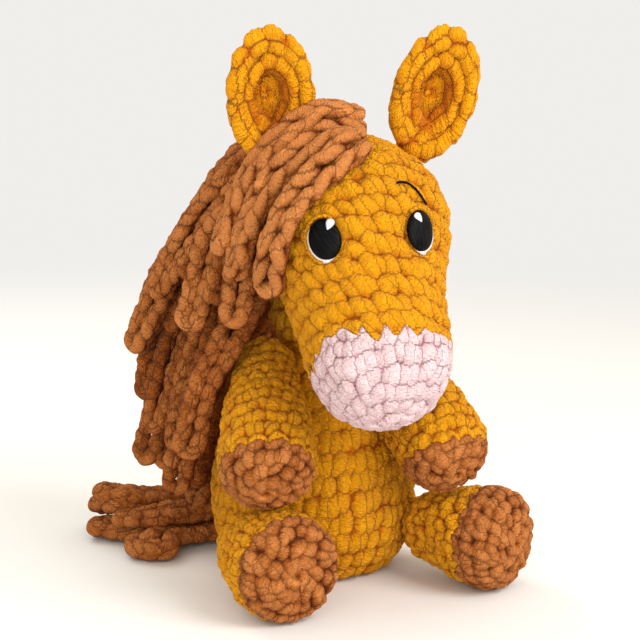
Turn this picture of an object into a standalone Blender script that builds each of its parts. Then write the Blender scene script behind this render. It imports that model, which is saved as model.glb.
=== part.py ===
"""Sitting plush horse, crocheted from thick chenille yarn and stuffed.

Metres, +Z up. The origin is on the floor under the middle of the torso. The horse faces -Y,
so its left side is at +X. Covers are open shells with their filling inside them.
"""

import math

import bmesh
import bpy
from mathutils import Matrix, Vector

MM = 0.001

# Clearances and the yarn
GAP = 0.3 * MM
RUNNING_GAP = 0.6 * MM
WALL = 6.0 * MM

# Torso
TORSO_HEIGHT = 148.0 * MM
TORSO_RADIUS = 62.0 * MM
TORSO_BASE_RADIUS = 40.0 * MM
TORSO_SEGMENTS = 28

# Neck: a stuffed ball that the head turns and nods on
NECK_CENTRE = Vector((0.0, -8.0 * MM, 158.0 * MM))
NECK_RADIUS = 29.0 * MM
NECK_MOUTH_RADIUS = 15.0 * MM
NECK_SEGMENTS = 20
SOCKET_SEGMENTS = 24

# Head: its long axis runs from the back of the crown down to the nose
HEAD_TURN = math.radians(12.5)
HEAD_LEAN = math.radians(38.0)
HEAD_LENGTH = 173.0 * MM
HEAD_RADIUS = 53.0 * MM
HEAD_ASIDE = 6.0 * MM
CROWN_FORWARD = 31.0 * MM
CROWN_HEIGHT = 254.0 * MM
MUZZLE_LENGTH = 37.0 * MM
HEAD_SEGMENTS = 28

# Eyes and brows, embroidered
EYE_LIFT = 0.6 * MM
FACE_ROLL = math.radians(-5.7)
EYE_ALONG = 81.5 * MM
EYE_SPREAD = math.radians(32.5)
EYE_WIDTH = 18.5 * MM
EYE_HEIGHT = 22.5 * MM
EYE_THICKNESS = 2.0 * MM
EYE_WHITE_DROP = 1.5 * MM
EYE_WHITE_ASIDE = 1.2 * MM
GLINT_WIDTH = 4.2 * MM
GLINT_HEIGHT = 6.5 * MM
GLINT_RAISE = 7.0 * MM
GLINT_ASIDE = 3.4 * MM
THREAD_THICKNESS = 1.0 * MM
BROW_LENGTH = 18.5 * MM
BROW_RISE = 4.0 * MM
BROW_DIAMETER = 2.2 * MM
BROW_ALONG = 62.0 * MM
BROW_SPREAD = math.radians(26.5)

PAD_EDGE_SHARE = 0.7
BROW_POINTS = 7
BROW_SLOPE_SHARE = 0.5
EMBROIDERY_ROUGHNESS = 0.35

# Ears
EAR_HEIGHT = 77.0 * MM
EAR_WIDTH = 49.0 * MM
EAR_DEPTH = 15.0 * MM
EAR_WALL = 8.0 * MM
EAR_RISE = 3.0 * MM
EAR_ROOT_RADIUS = 9.0 * MM
EAR_ROOT_SINK = 4.0 * MM
EAR_ALONG = 18.0 * MM
EAR_SPREAD = math.radians(74.0)
EAR_TILT = math.radians(8.0)
EAR_LEAN = math.radians(18.0)
EAR_SEGMENTS = 20
EAR_ROLL_STEPS = 5
EAR_FOOT_NARROWING_SHARE = 0.42

ROOT_STEPS = 4

# Arms: root ball at the shoulder, then the sleeve, then the hoof
ARM_LENGTH = 97.0 * MM
ARM_RADIUS = 26.5 * MM
ARM_ROOT_RADIUS = 17.0 * MM
ARM_HOOF_LENGTH = 29.0 * MM
ARM_SEGMENTS = 22
SHOULDER_RIGHT = Vector((-40.0 * MM, -16.0 * MM, 128.0 * MM))
SHOULDER_LEFT = Vector((43.0 * MM, -18.0 * MM, 126.0 * MM))
ARM_TIP_LENGTH = 26.0 * MM
ARM_AIM_RIGHT = Vector((-0.35, -0.735, -0.55)).normalized()
ARM_AIM_LEFT = Vector((-0.02, -0.84, -0.55)).normalized()

# Legs: root ball at the hip, short sleeve and a broad sole
LEG_LENGTH = 53.0 * MM
LEG_TIP_LENGTH = 20.0 * MM
LEG_RADIUS = 30.0 * MM
LEG_ROOT_RADIUS = 22.0 * MM
LEG_HOOF_LENGTH = 26.0 * MM
LEG_SEGMENTS = 24
LEG_AXIS_HEIGHT = LEG_RADIUS + GAP
HIP_RIGHT = Vector((-63.0 * MM, -51.0 * MM, LEG_AXIS_HEIGHT))
HIP_LEFT = Vector((53.0 * MM, -62.0 * MM, LEG_AXIS_HEIGHT))
LEG_AIM_RIGHT = Vector((0.0, -1.0, 0.0))
LEG_AIM_LEFT = Vector((0.42, -0.907, 0.0)).normalized()

# Locks of yarn, as plain tubes round each folded loop
LOCK_DIAMETER = 14.0 * MM
TAIL_PIVOT = Vector((-10.0 * MM, 62.0 * MM, 20.0 * MM))
LOCK_STEP = 7.0 * MM

# Turned outlines, as (share of the length, share of the radius)
TORSO_SHARES = (
    (0.02, 0.745), (0.055, 0.84), (0.12, 0.94), (0.21, 0.99), (0.29, 1.0), (0.38, 0.985), (0.48, 0.925),
    (0.59, 0.825), (0.70, 0.70), (0.80, 0.565), (0.88, 0.435), (0.94, 0.31), (0.98, 0.18), (1.0, 0.0),
)
HEAD_SHARES = (
    (0.0, 0.0), (0.012, 0.25), (0.05, 0.51), (0.11, 0.74), (0.18, 0.90), (0.26, 0.98), (0.34, 1.0),
    (0.43, 0.94), (0.52, 0.845), (0.61, 0.775), (0.70, 0.745), (0.78, 0.735), (0.85, 0.69), (0.92, 0.57),
    (0.97, 0.37), (0.992, 0.19), (1.0, 0.0),
)
LIMB_SWELL_SHARES = ((0.0, 0.0), (0.2, 0.27), (0.42, 0.58), (0.66, 0.85), (1.0, 1.0))
LIMB_TIP_SHARES = ((0.0, 1.0), (0.30, 0.985), (0.55, 0.91), (0.76, 0.76), (0.91, 0.53), (0.98, 0.28), (1.0, 0.0))
SOLE_SHARES = ((0.0, 1.0), (0.35, 0.985), (0.65, 0.90), (0.85, 0.74), (0.96, 0.48), (1.0, 0.0))

# Routes of the locks through hand-chosen points in millimetres, from each root to its looped end
FORELOCK_ROUTES = (
    ((-11, -71, 276.5), (-29, -67, 279), (-49, -62, 267), (-62, -52, 249), (-72, -46, 228), (-78, -43, 209)),
    ((-15, -83, 267.2), (-30, -77, 268), (-49, -74, 255), (-62, -67, 238), (-71, -60, 217), (-76, -55, 196)),
    ((-23, -95, 262.5), (-36, -97, 256), (-50, -95, 244), (-61, -91, 229), (-67, -85, 210), (-66, -74, 188)),
)
MANE_ROUTES = (
    ((0, -19.5, 251.5), (-35, -4, 255), (-56, 0, 239), (-71, 10, 212), (-84, 26, 180), (-97, 40, 141)),
    ((-11, -49, 273), (-49, -24, 250), (-65, -21, 236), (-77, -13, 220), (-85, 0, 198), (-92, 13, 176)),
    ((-13, -5, 234), (-48, -18, 226), (-66, -31, 220), (-77, -25, 204), (-82, -22, 183), (-86, -15, 162)),
    ((-23, -6, 217), (-39, -12, 205), (-60, -30, 202), (-67, -41, 190), (-71, -44, 178), (-74, -45, 168)),
    ((4.5, -8, 222), (-28, 19, 221), (-54, 20, 199), (-66, 28, 163), (-78, 37, 126), (-85, 43, 90)),
    ((-3.5, -5, 208), (-34, 6, 201), (-57, -4, 186), (-70, 1, 150), (-78, 7, 117), (-82, 12, 85)),
    ((-16, -8.5, 193.5), (-37, -14, 185), (-51, -20, 169), (-67, -25, 146), (-81, -21, 121), (-86, -15, 88)),
    ((12, -11, 209), (-8, 40, 200), (-37, 43, 165), (-55, 47, 122), (-66, 49, 92), (-74, 51, 65)),
    ((4, -8, 192.5), (-23, 23, 184), (-44, 21, 144), (-60, 23, 109), (-72, 27, 79), (-78, 30, 54)),
    ((18, -12.5, 192.5), (15, 46, 178), (-2, 66, 140), (-20, 74, 95), (-35, 73, 59), (-47, 70, 25)),
)
TAIL_ROUTES = (
    ((-6, 65.7, 31.5), (-20, 79, 23), (-42, 89, 15), (-64, 95, 15), (-86, 100, 20), (-91, 123, 17)),
    ((-7, 64, 16), (-27, 74, 8), (-50, 77, 7.6), (-73, 77, 11), (-87, 91, 7.6), (-98, 104, 7.6)),
    ((-24.5, 57, 11.5), (-40, 60, 8), (-58, 61, 8), (-76, 58, 10), (-82, 46, 7.6), (-91, 57, 7.6)),
)

MUSTARD = (0.80, 0.42, 0.035, 1.0)
BROWN = (0.36, 0.145, 0.06, 1.0)
PALE_PINK = (0.86, 0.72, 0.74, 1.0)
BLACK = (0.012, 0.012, 0.014, 1.0)
WHITE = (0.86, 0.86, 0.88, 1.0)
FIBRE = (0.82, 0.82, 0.80, 1.0)


def clear_scene():
    for thing in list(bpy.data.objects):
        bpy.data.objects.remove(thing, do_unlink=True)


def material(name, colour, roughness=0.9):
    made = bpy.data.materials.new(name)
    made.use_nodes = True
    shader = made.node_tree.nodes["Principled BSDF"]
    shader.inputs["Base Color"].default_value = colour
    shader.inputs["Roughness"].default_value = roughness
    shader.inputs["Metallic"].default_value = 0.0
    return made


def new_object(name, mesh, dress):
    """An object in the scene with one material, shaded smooth."""
    thing = bpy.data.objects.new(name, mesh)
    bpy.context.scene.collection.objects.link(thing)
    if dress is not None:
        mesh.materials.append(dress)
    mesh.shade_smooth()
    return thing


def hide_cutter(thing):
    thing.hide_render = True
    thing.display_type = "WIRE"
    return thing


def turned_mesh(name, outline, segments, ring=False):
    """A mesh spun about +Z from an outline of (along, radius) points.

    An outline that starts and ends on the axis closes at its poles, and a ring outline
    closes on itself.
    """
    made = bmesh.new()
    points = [made.verts.new((radius, 0.0, along)) for along, radius in outline]
    lines = [made.edges.new(pair) for pair in zip(points, points[1:])]
    if ring:
        lines.append(made.edges.new((points[-1], points[0])))
    bmesh.ops.spin(
        made, geom=points + lines, cent=(0.0, 0.0, 0.0), axis=(0.0, 0.0, 1.0), dvec=(0.0, 0.0, 0.0),
        angle=math.tau, steps=segments, use_merge=True, use_duplicate=False,
    )
    bmesh.ops.remove_doubles(made, verts=made.verts, dist=GAP / 100.0)
    bmesh.ops.dissolve_degenerate(made, dist=GAP / 100.0, edges=made.edges)
    bmesh.ops.recalc_face_normals(made, faces=made.faces)
    mesh = bpy.data.meshes.new(name)
    made.to_mesh(mesh)
    made.free()
    return mesh


def inset_outline(outline, depth):
    """The outline moved inwards by depth along its own normals, with its poles kept on the axis."""
    moved = []
    last = len(outline) - 1
    for index, (along, radius) in enumerate(outline):
        before = outline[max(index - 1, 0)]
        after = outline[min(index + 1, last)]
        step = Vector((after[0] - before[0], after[1] - before[1])).normalized()
        if radius == 0.0:
            inward = 1.0 if index == 0 else -1.0
            moved.append((along + inward * depth, 0.0))
            continue
        moved.append((along + step.y * depth, max(radius - step.x * depth, 0.0)))
    return in_order(moved)


def in_order(outline):
    """The points of an outline whose places along it keep rising, as a deep inset can fold its ends."""
    first, last = outline[0], outline[-1]
    kept = [first]
    for along, radius in outline[1:-1]:
        if kept[-1][0] < along < last[0]:
            kept.append((along, radius))
    kept.append(last)
    return kept


def radius_at(outline, along):
    """The outline's radius at a place along it."""
    for (low, low_radius), (high, high_radius) in zip(outline, outline[1:]):
        if low <= along <= high:
            share = (along - low) / (high - low)
            return low_radius + share * (high_radius - low_radius)
    return 0.0


def between(outline, start, end):
    """The part of an outline from start to end, with a point at each cut."""
    inner = [(along, radius) for along, radius in outline if start + GAP < along < end - GAP]
    first = [] if outline[0][0] >= start else [(start, radius_at(outline, start))]
    last = [] if outline[-1][0] <= end else [(end, radius_at(outline, end))]
    head = [outline[0]] if outline[0][0] >= start and outline[0][0] <= start + GAP else []
    tail = [outline[-1]] if outline[-1][0] <= end and outline[-1][0] >= end - GAP else []
    return first + head + inner + tail + last


def below(outline, end):
    """The part of an outline before end, with a point at the cut."""
    kept = [(along, radius) for along, radius in outline if along < end - GAP]
    return kept + [(end, radius_at(outline, end))]


def cup_outline(outline, cut, wall, keep_end):
    """A shell's outline: the outside to the cut, across the rim, and back inside.

    keep_end keeps the part past the cut, and otherwise the part before it.
    """
    inner = inset_outline(outline, wall)
    if keep_end:
        outside = between(outline, cut, outline[-1][0])
        inside = between(inner, cut, inner[-1][0])
        return list(reversed(outside)) + inside
    outside = between(outline, outline[0][0], cut)
    inside = between(inner, inner[0][0], cut)
    return outside + list(reversed(inside))


def aim_matrix(origin, aim):
    """A placing matrix: local +Z along aim, local +X level with the floor."""
    along = Vector(aim).normalized()
    side = along.cross(Vector((0.0, 0.0, 1.0))).normalized()
    up = side.cross(along)
    turn = Matrix((side, up, along)).transposed()
    return Matrix.Translation(origin) @ turn.to_4x4()


def pivot(name, place, parent=None):
    """An empty on a joint, which its moving pieces are parented to."""
    thing = bpy.data.objects.new(name, None)
    thing.location = place
    bpy.context.scene.collection.objects.link(thing)
    if parent is not None:
        thing.parent = parent
        thing.location = place - parent.location
    return thing


def carry(thing, mount, matrix):
    """Places a piece by its world matrix under the empty that carries it."""
    thing.parent = mount
    bpy.context.view_layer.update()
    thing.matrix_parent_inverse = mount.matrix_world.inverted()
    thing.matrix_basis = matrix
    return thing


def cut(thing, cutter, name):
    modifier = thing.modifiers.new(name, "BOOLEAN")
    modifier.operation = "DIFFERENCE"
    modifier.solver = "EXACT"
    modifier.object = cutter


def ball(name, centre, radius, segments):
    """A cutter ball."""
    made = bmesh.new()
    bmesh.ops.create_uvsphere(made, u_segments=segments, v_segments=segments // 2, radius=radius)
    mesh = bpy.data.meshes.new(name)
    made.to_mesh(mesh)
    made.free()
    thing = new_object(name, mesh, None)
    thing.location = centre
    return hide_cutter(thing)


def scaled(shares, length, radius):
    return [(along * length, share * radius) for along, share in shares]


# Torso

def torso_outline(grown=0.0):
    outline = scaled(TORSO_SHARES, TORSO_HEIGHT, TORSO_RADIUS)
    outline = [(0.0, 0.0), (0.0, TORSO_BASE_RADIUS)] + outline
    if grown:
        outline = [(-grown, 0.0), (-grown, TORSO_BASE_RADIUS + grown)] + [
            (along, radius + grown) for along, radius in outline[2:-1]
        ] + [(outline[-1][0] + grown, 0.0)]
    return outline


def torso_inside(depth):
    """The torso's outline moved inwards, with a level floor."""
    moved = inset_outline(torso_outline()[1:], depth)
    walls = [(along, radius) for along, radius in moved[1:] if along > depth + GAP]
    floor_radius = TORSO_BASE_RADIUS - depth / 2.0
    return [(depth, 0.0), (depth, floor_radius)] + walls


def make_torso(paint, sockets):
    outside = torso_outline()
    inside = torso_inside(WALL)
    mouth = TORSO_HEIGHT - WALL - GAP
    shell = below(outside, mouth) + list(reversed(below(inside, mouth)))
    cover = new_object("torso_cover", turned_mesh("torso_cover", shell, TORSO_SEGMENTS), paint["mustard"])
    solid = torso_inside(WALL + GAP)
    filling = new_object("torso_filling", turned_mesh("torso_filling", solid, TORSO_SEGMENTS // 2), paint["fibre"])
    for socket in sockets:
        cut(cover, socket, socket.name)
    neck_socket = ball("neck_socket", NECK_CENTRE, NECK_RADIUS + RUNNING_GAP, SOCKET_SEGMENTS)
    cut(cover, neck_socket, "neck_socket")
    cut(filling, neck_socket, "neck_socket")
    return neck_socket


# Neck

def make_neck(paint, mount):
    rise = math.sqrt(NECK_RADIUS ** 2 - NECK_MOUTH_RADIUS ** 2)
    inner_radius = NECK_RADIUS - WALL
    inner_rise = math.sqrt(inner_radius ** 2 - NECK_MOUTH_RADIUS ** 2)
    steps = NECK_SEGMENTS // 2
    outer_angle = math.asin(rise / NECK_RADIUS)
    inner_angle = math.asin(inner_rise / inner_radius)
    outer = [
        (NECK_RADIUS * math.sin(angle), NECK_RADIUS * math.cos(angle))
        for angle in (outer_angle * (2.0 * step / steps - 1.0) for step in range(steps + 1))
    ]
    inner = [
        (inner_radius * math.sin(angle), inner_radius * math.cos(angle))
        for angle in (inner_angle * (2.0 * step / steps - 1.0) for step in range(steps + 1))
    ]
    ring = outer + list(reversed(inner))
    cover = new_object("neck_cover", turned_mesh("neck_cover", ring, NECK_SEGMENTS, ring=True), paint["mustard"])
    fill_radius = inner_radius - GAP
    arc = [
        (-fill_radius * math.cos(math.pi * step / steps), fill_radius * math.sin(math.pi * step / steps))
        for step in range(steps + 1)
    ]
    arc[0] = (-fill_radius, 0.0)
    arc[-1] = (fill_radius, 0.0)
    filling = new_object("neck_filling", turned_mesh("neck_filling", arc, NECK_SEGMENTS), paint["fibre"])
    for thing in (cover, filling):
        carry(thing, mount, Matrix.Translation(NECK_CENTRE))


# Head

def head_forward():
    return Vector((-math.sin(HEAD_TURN), -math.cos(HEAD_TURN), 0.0))


def head_left():
    return Vector((math.cos(HEAD_TURN), -math.sin(HEAD_TURN), 0.0))


def head_axis():
    return head_forward() * math.sin(HEAD_LEAN) - Vector((0.0, 0.0, math.cos(HEAD_LEAN)))


def crown_point():
    return head_forward() * CROWN_FORWARD + head_left() * HEAD_ASIDE + Vector((0.0, 0.0, CROWN_HEIGHT))


def head_matrix():
    """Local +Z runs from the crown to the nose, and local +Y points up and forward, out of the face."""
    along = head_axis()
    side = head_left()
    face = along.cross(side)
    turn = Matrix((side, face, along)).transposed()
    return Matrix.Translation(crown_point()) @ turn.to_4x4()


def head_outline():
    return scaled(HEAD_SHARES, HEAD_LENGTH, HEAD_RADIUS)


def make_head(paint, mount, neck_socket):
    outline = head_outline()
    seam = HEAD_LENGTH - MUZZLE_LENGTH
    cover_shape = cup_outline(outline, seam, WALL, keep_end=False)
    cap_shape = cup_outline(outline, seam + GAP, WALL, keep_end=True)
    solid = inset_outline(outline, WALL + GAP)
    cover = new_object("head_cover", turned_mesh("head_cover", cover_shape, HEAD_SEGMENTS), paint["mustard"])
    cap = new_object("muzzle_cover", turned_mesh("muzzle_cover", cap_shape, HEAD_SEGMENTS), paint["pale_pink"])
    filling = new_object("head_filling", turned_mesh("head_filling", solid, HEAD_SEGMENTS // 2), paint["fibre"])
    for thing in (cover, cap, filling):
        carry(thing, mount, head_matrix())
    cut(cover, neck_socket, "neck_socket")
    cut(filling, neck_socket, "neck_socket")


def face_matrix(along, spread, side):
    """A frame on the head's surface: local +Z out of it, local +X towards the horse's left, +Y to the crown."""
    outline = head_outline()
    step = HEAD_LENGTH / 100.0
    radius = radius_at(outline, along)
    slope = (radius_at(outline, along + step) - radius_at(outline, along - step)) / (2.0 * step)
    angle = FACE_ROLL + side * spread
    out_flat = Vector((math.sin(angle), math.cos(angle), 0.0))
    place = out_flat * radius + Vector((0.0, 0.0, along))
    normal = (out_flat - Vector((0.0, 0.0, slope))).normalized()
    across = Vector((math.cos(angle), -math.sin(angle), 0.0))
    upward = normal.cross(across)
    turn = Matrix((across, upward, normal)).transposed()
    return head_matrix() @ Matrix.Translation(place) @ turn.to_4x4()


def pad_mesh(name, width, height, thickness, bend_radius, place, lift, segments=14, rings=2):
    """A closed oval pad on a round face: place is its middle, and lift its height over the face."""
    made = bmesh.new()
    layers = []
    for raised in (thickness, 0.0):
        rows = []
        for ring in range(rings + 1):
            share = ring / rings
            count = segments if ring else 1
            row = []
            for step in range(count):
                turn = math.tau * step / segments
                across = place[0] + width / 2.0 * share * math.cos(turn)
                upward = place[1] + height / 2.0 * share * math.sin(turn)
                crown = raised * (1.0 - PAD_EDGE_SHARE * share ** 4)
                sink = bend_radius - math.sqrt(bend_radius ** 2 - across ** 2)
                row.append(made.verts.new((across, upward, lift + crown - sink)))
            rows.append(row)
        layers.append(rows)
        for inner, outer in zip(rows, rows[1:]):
            for step in range(segments):
                following = (step + 1) % segments
                if len(inner) == 1:
                    made.faces.new([inner[0], outer[step], outer[following]])
                else:
                    made.faces.new([inner[step], outer[step], outer[following], inner[following]])
    top, bottom = layers[0][-1], layers[1][-1]
    for step in range(segments):
        following = (step + 1) % segments
        made.faces.new([top[step], bottom[step], bottom[following], top[following]])
    bmesh.ops.recalc_face_normals(made, faces=made.faces)
    mesh = bpy.data.meshes.new(name)
    made.to_mesh(mesh)
    made.free()
    return mesh


def make_eye(paint, mount, name, side):
    """A pupil with a white crescent under its outer foot and a glint at the inner top, side +1 on the left."""
    bend = radius_at(head_outline(), EYE_ALONG)
    place = face_matrix(EYE_ALONG, EYE_SPREAD, side)
    white_place = (side * EYE_WHITE_ASIDE, -EYE_WHITE_DROP)
    glint_place = (-side * GLINT_ASIDE, GLINT_RAISE)
    pupil_lift = EYE_LIFT + THREAD_THICKNESS + GAP
    glint_lift = pupil_lift + EYE_THICKNESS + GAP
    pads = (
        ("eye_white_", EYE_WIDTH, EYE_HEIGHT, THREAD_THICKNESS, white_place, EYE_LIFT, "white"),
        ("pupil_", EYE_WIDTH, EYE_HEIGHT, EYE_THICKNESS, (0.0, 0.0), pupil_lift, "black"),
        ("eye_glint_", GLINT_WIDTH, GLINT_HEIGHT, THREAD_THICKNESS, glint_place, glint_lift, "white"),
    )
    for prefix, width, height, thickness, spot, lift, colour in pads:
        mesh = pad_mesh(prefix + name, width, height, thickness, bend, spot, lift)
        carry(new_object(prefix + name, mesh, paint[colour]), mount, place)


def make_brow(paint, mount, name, side):
    """A thread arc over the eye."""
    bend = radius_at(head_outline(), BROW_ALONG)
    points = []
    for step in range(BROW_POINTS):
        share = step / (BROW_POINTS - 1) * 2.0 - 1.0
        across = share * BROW_LENGTH / 2.0
        upward = BROW_RISE * (1.0 - share ** 2) - side * across * BROW_SLOPE_SHARE
        sink = bend - math.sqrt(bend ** 2 - across ** 2)
        points.append(Vector((across, upward, EYE_LIFT + BROW_DIAMETER / 2.0 - sink)))
    thing = tube("brow_" + name, points, BROW_DIAMETER / 2.0, paint["black"], 2)
    carry(thing, mount, face_matrix(BROW_ALONG, BROW_SPREAD, side))


# Ears

def ear_mesh(name):
    """A cupped leaf: an outline turned about its middle, drawn out to an oval that narrows to its foot."""
    rim_place = EAR_WIDTH / 2.0 - EAR_WALL / 2.0
    roll = EAR_WALL / 2.0
    outline = [(-EAR_DEPTH + EAR_WALL, 0.0), (-EAR_DEPTH + EAR_WALL * 1.08, rim_place * 0.38)]
    outline += [(-EAR_DEPTH * 0.28, rim_place * 0.68)]
    for step in range(EAR_ROLL_STEPS + 1):
        angle = math.pi * (0.86 - 1.36 * step / EAR_ROLL_STEPS)
        outline.append((roll * math.sin(angle), rim_place + roll * math.cos(angle)))
    outline += [(-EAR_DEPTH * 0.72, rim_place * 0.78), (-EAR_DEPTH, rim_place * 0.4), (-EAR_DEPTH, 0.0)]
    mesh = turned_mesh(name, list(reversed(outline)), EAR_SEGMENTS)
    stretch = EAR_HEIGHT / EAR_WIDTH
    middle = EAR_HEIGHT / 2.0
    for vertex in mesh.vertices:
        across, upward, out = vertex.co
        upward *= stretch
        low = max(-upward / middle, 0.0)
        narrow = 1.0 - EAR_FOOT_NARROWING_SHARE * low ** 2
        vertex.co = (across * narrow, upward + middle + EAR_RISE, out * narrow)
    return mesh


def ear_place(side):
    """The ear's root, on the side of the crown."""
    radius = radius_at(head_outline(), EAR_ALONG) + EAR_ROOT_RADIUS - EAR_ROOT_SINK
    angle = side * EAR_SPREAD
    flat = Vector((radius * math.sin(angle), radius * math.cos(angle), EAR_ALONG))
    return head_matrix() @ flat


def ear_matrix(side):
    """Local +Y up the ear, local +Z out of its cup."""
    upright = Vector((0.0, 0.0, math.cos(EAR_LEAN))) + head_forward() * math.sin(EAR_LEAN)
    upward = (upright * math.cos(EAR_TILT) + head_left() * side * math.sin(EAR_TILT)).normalized()
    out = (head_forward() - upward * head_forward().dot(upward)).normalized()
    across = upward.cross(out)
    turn = Matrix((across, upward, out)).transposed()
    return Matrix.Translation(ear_place(side)) @ turn.to_4x4()


def make_ear(paint, mount, name, side):
    leaf = new_object("ear_" + name, ear_mesh("ear_" + name), paint["mustard"])
    carry(leaf, mount, ear_matrix(side))
    root = ball("ear_root_" + name, ear_place(side), EAR_ROOT_RADIUS, EAR_SEGMENTS)
    join = leaf.modifiers.new("root", "BOOLEAN")
    join.operation = "UNION"
    join.object = root
    socket = ball("ear_socket_" + name, ear_place(side), EAR_ROOT_RADIUS + RUNNING_GAP, SOCKET_SEGMENTS)
    cut(bpy.data.objects["head_cover"], socket, socket.name)


# Limbs

def limb_outline(root, length, radius, tip, tip_shares):
    """Root ball, swelling sleeve and rounded tip, along the limb from its pivot."""
    steps = ROOT_STEPS
    ball_part = [
        (-root * math.cos(math.pi / 2.0 * step / steps), root * math.sin(math.pi / 2.0 * step / steps))
        for step in range(steps)
    ]
    ball_part[0] = (-root, 0.0)
    swell = [(share * (length - tip), root + (radius - root) * rise) for share, rise in LIMB_SWELL_SHARES]
    end = [(length - tip + share * tip, radius * width) for share, width in tip_shares[1:]]
    return ball_part + swell + end


def make_limb(paint, mount, name, limb, cutters):
    """A sleeve, its hoof and their filling."""
    outline = limb_outline(limb["root"], limb["length"], limb["radius"], limb["tip"], limb["tip_shares"])
    seam = limb["length"] - limb["hoof"]
    sleeve_shape = cup_outline(outline, seam, WALL, keep_end=False)
    hoof_shape = cup_outline(outline, seam + GAP, WALL, keep_end=True)
    solid = inset_outline(outline, WALL + GAP)
    segments = limb["segments"]
    place = aim_matrix(limb["pivot"], limb["aim"])
    sleeve = new_object(name + "_sleeve", turned_mesh(name + "_sleeve", sleeve_shape, segments), paint["mustard"])
    hoof = new_object(name + "_hoof", turned_mesh(name + "_hoof", hoof_shape, segments), paint["brown"])
    filling = new_object(name + "_filling", turned_mesh(name + "_filling", solid, segments // 2), paint["fibre"])
    for thing in (sleeve, hoof, filling):
        carry(thing, mount, place)
    for cutter in cutters:
        cut(sleeve, cutter, cutter.name)


def limbs():
    arm = {
        "length": ARM_LENGTH, "radius": ARM_RADIUS, "root": ARM_ROOT_RADIUS, "tip": ARM_TIP_LENGTH,
        "hoof": ARM_HOOF_LENGTH, "segments": ARM_SEGMENTS, "tip_shares": LIMB_TIP_SHARES,
    }
    leg = {
        "length": LEG_LENGTH, "radius": LEG_RADIUS, "root": LEG_ROOT_RADIUS, "tip": LEG_TIP_LENGTH,
        "hoof": LEG_HOOF_LENGTH, "segments": LEG_SEGMENTS, "tip_shares": SOLE_SHARES,
    }
    return {
        "arm_right": {**arm, "pivot": SHOULDER_RIGHT, "aim": ARM_AIM_RIGHT},
        "arm_left": {**arm, "pivot": SHOULDER_LEFT, "aim": ARM_AIM_LEFT},
        "leg_right": {**leg, "pivot": HIP_RIGHT, "aim": LEG_AIM_RIGHT},
        "leg_left": {**leg, "pivot": HIP_LEFT, "aim": LEG_AIM_LEFT},
    }


# Locks

def smooth_route(points, step):
    """Points along a smooth curve through the route's own points, a step apart."""
    padded = [points[0] * 2.0 - points[1]] + list(points) + [points[-1] * 2.0 - points[-2]]
    route = [points[0].copy()]
    for index in range(1, len(padded) - 2):
        before, start, end, after = padded[index - 1:index + 3]
        parts = max(round((end - start).length / step), 1)
        for part in range(1, parts + 1):
            t = part / parts
            route.append(0.5 * (
                2.0 * start + (end - before) * t + (2.0 * before - 5.0 * start + 4.0 * end - after) * t ** 2
                + (3.0 * start - before - 3.0 * end + after) * t ** 3
            ))
    return route


def tube(name, points, radius, dress, bevel_resolution):
    """A capped tube along the points."""
    curve = bpy.data.curves.new(name, "CURVE")
    curve.dimensions = "3D"
    curve.bevel_depth = radius
    curve.bevel_resolution = bevel_resolution
    curve.use_fill_caps = True
    curve.resolution_u = 1
    spline = curve.splines.new("POLY")
    spline.points.add(len(points) - 1)
    for point, place in zip(spline.points, points):
        point.co = (place.x, place.y, place.z, 1.0)
    curve.materials.append(dress)
    thing = bpy.data.objects.new(name, curve)
    bpy.context.scene.collection.objects.link(thing)
    return thing


def make_locks(paint, mount, name, routes):
    for number, route in enumerate(routes, start=1):
        points = [Vector(point) * MM for point in route]
        lock = tube(f"{name}_{number}", smooth_route(points, LOCK_STEP * 2.0), LOCK_DIAMETER / 2.0, paint["brown"], 2)
        carry(lock, mount, Matrix.Identity(4))


def main():
    clear_scene()
    paint = {
        "mustard": material("mustard_yarn", MUSTARD),
        "brown": material("brown_yarn", BROWN),
        "pale_pink": material("pale_pink_yarn", PALE_PINK),
        "black": material("black_thread", BLACK, EMBROIDERY_ROUGHNESS),
        "white": material("white_thread", WHITE, EMBROIDERY_ROUGHNESS),
        "fibre": material("fibre_filling", FIBRE),
    }
    neck = pivot("neck_pivot", NECK_CENTRE)
    head = pivot("head_pivot", NECK_CENTRE, neck)
    tail = pivot("tail_pivot", TAIL_PIVOT)
    parts = limbs()
    sockets = [
        ball(name + "_socket", limb["pivot"], limb["root"] + RUNNING_GAP, SOCKET_SEGMENTS) for name, limb in parts.items()
    ]
    torso_room = hide_cutter(
        new_object("torso_room", turned_mesh("torso_room", torso_outline(RUNNING_GAP), TORSO_SEGMENTS), None)
    )
    for name, limb in parts.items():
        keep = ball(name + "_root_room", limb["pivot"], limb["root"] + GAP / 2.0, SOCKET_SEGMENTS)
        cut(torso_room, keep, keep.name)
    neck_socket = make_torso(paint, sockets)
    make_neck(paint, neck)
    make_head(paint, head, neck_socket)
    for name, side in (("left", 1.0), ("right", -1.0)):
        make_eye(paint, head, name, side)
        make_brow(paint, head, name, side)
        make_ear(paint, pivot("ear_pivot_" + name, ear_place(side)), name, side)
    for name, limb in parts.items():
        make_limb(paint, pivot(name + "_pivot", limb["pivot"]), name, limb, [torso_room])
    make_locks(paint, head, "forelock", FORELOCK_ROUTES)
    make_locks(paint, head, "mane_lock", MANE_ROUTES)
    make_locks(paint, tail, "tail_lock", TAIL_ROUTES)


if __name__ == "__main__":
    main()
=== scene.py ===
"""Sitting plush horse, crocheted from chunky chenille yarn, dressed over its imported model.

Every stuffed piece is one turned form whose surface is raised into puffed stitches, worked in rounds.
The mane, forelock and tail are folded loops of thick cord, and the eyes are satin stitch.
"""

import logging
import math
from dataclasses import dataclass, field
from enum import Enum

import bmesh
import bpy
import numpy as np
from mathutils import Euler, Matrix, Vector

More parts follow.
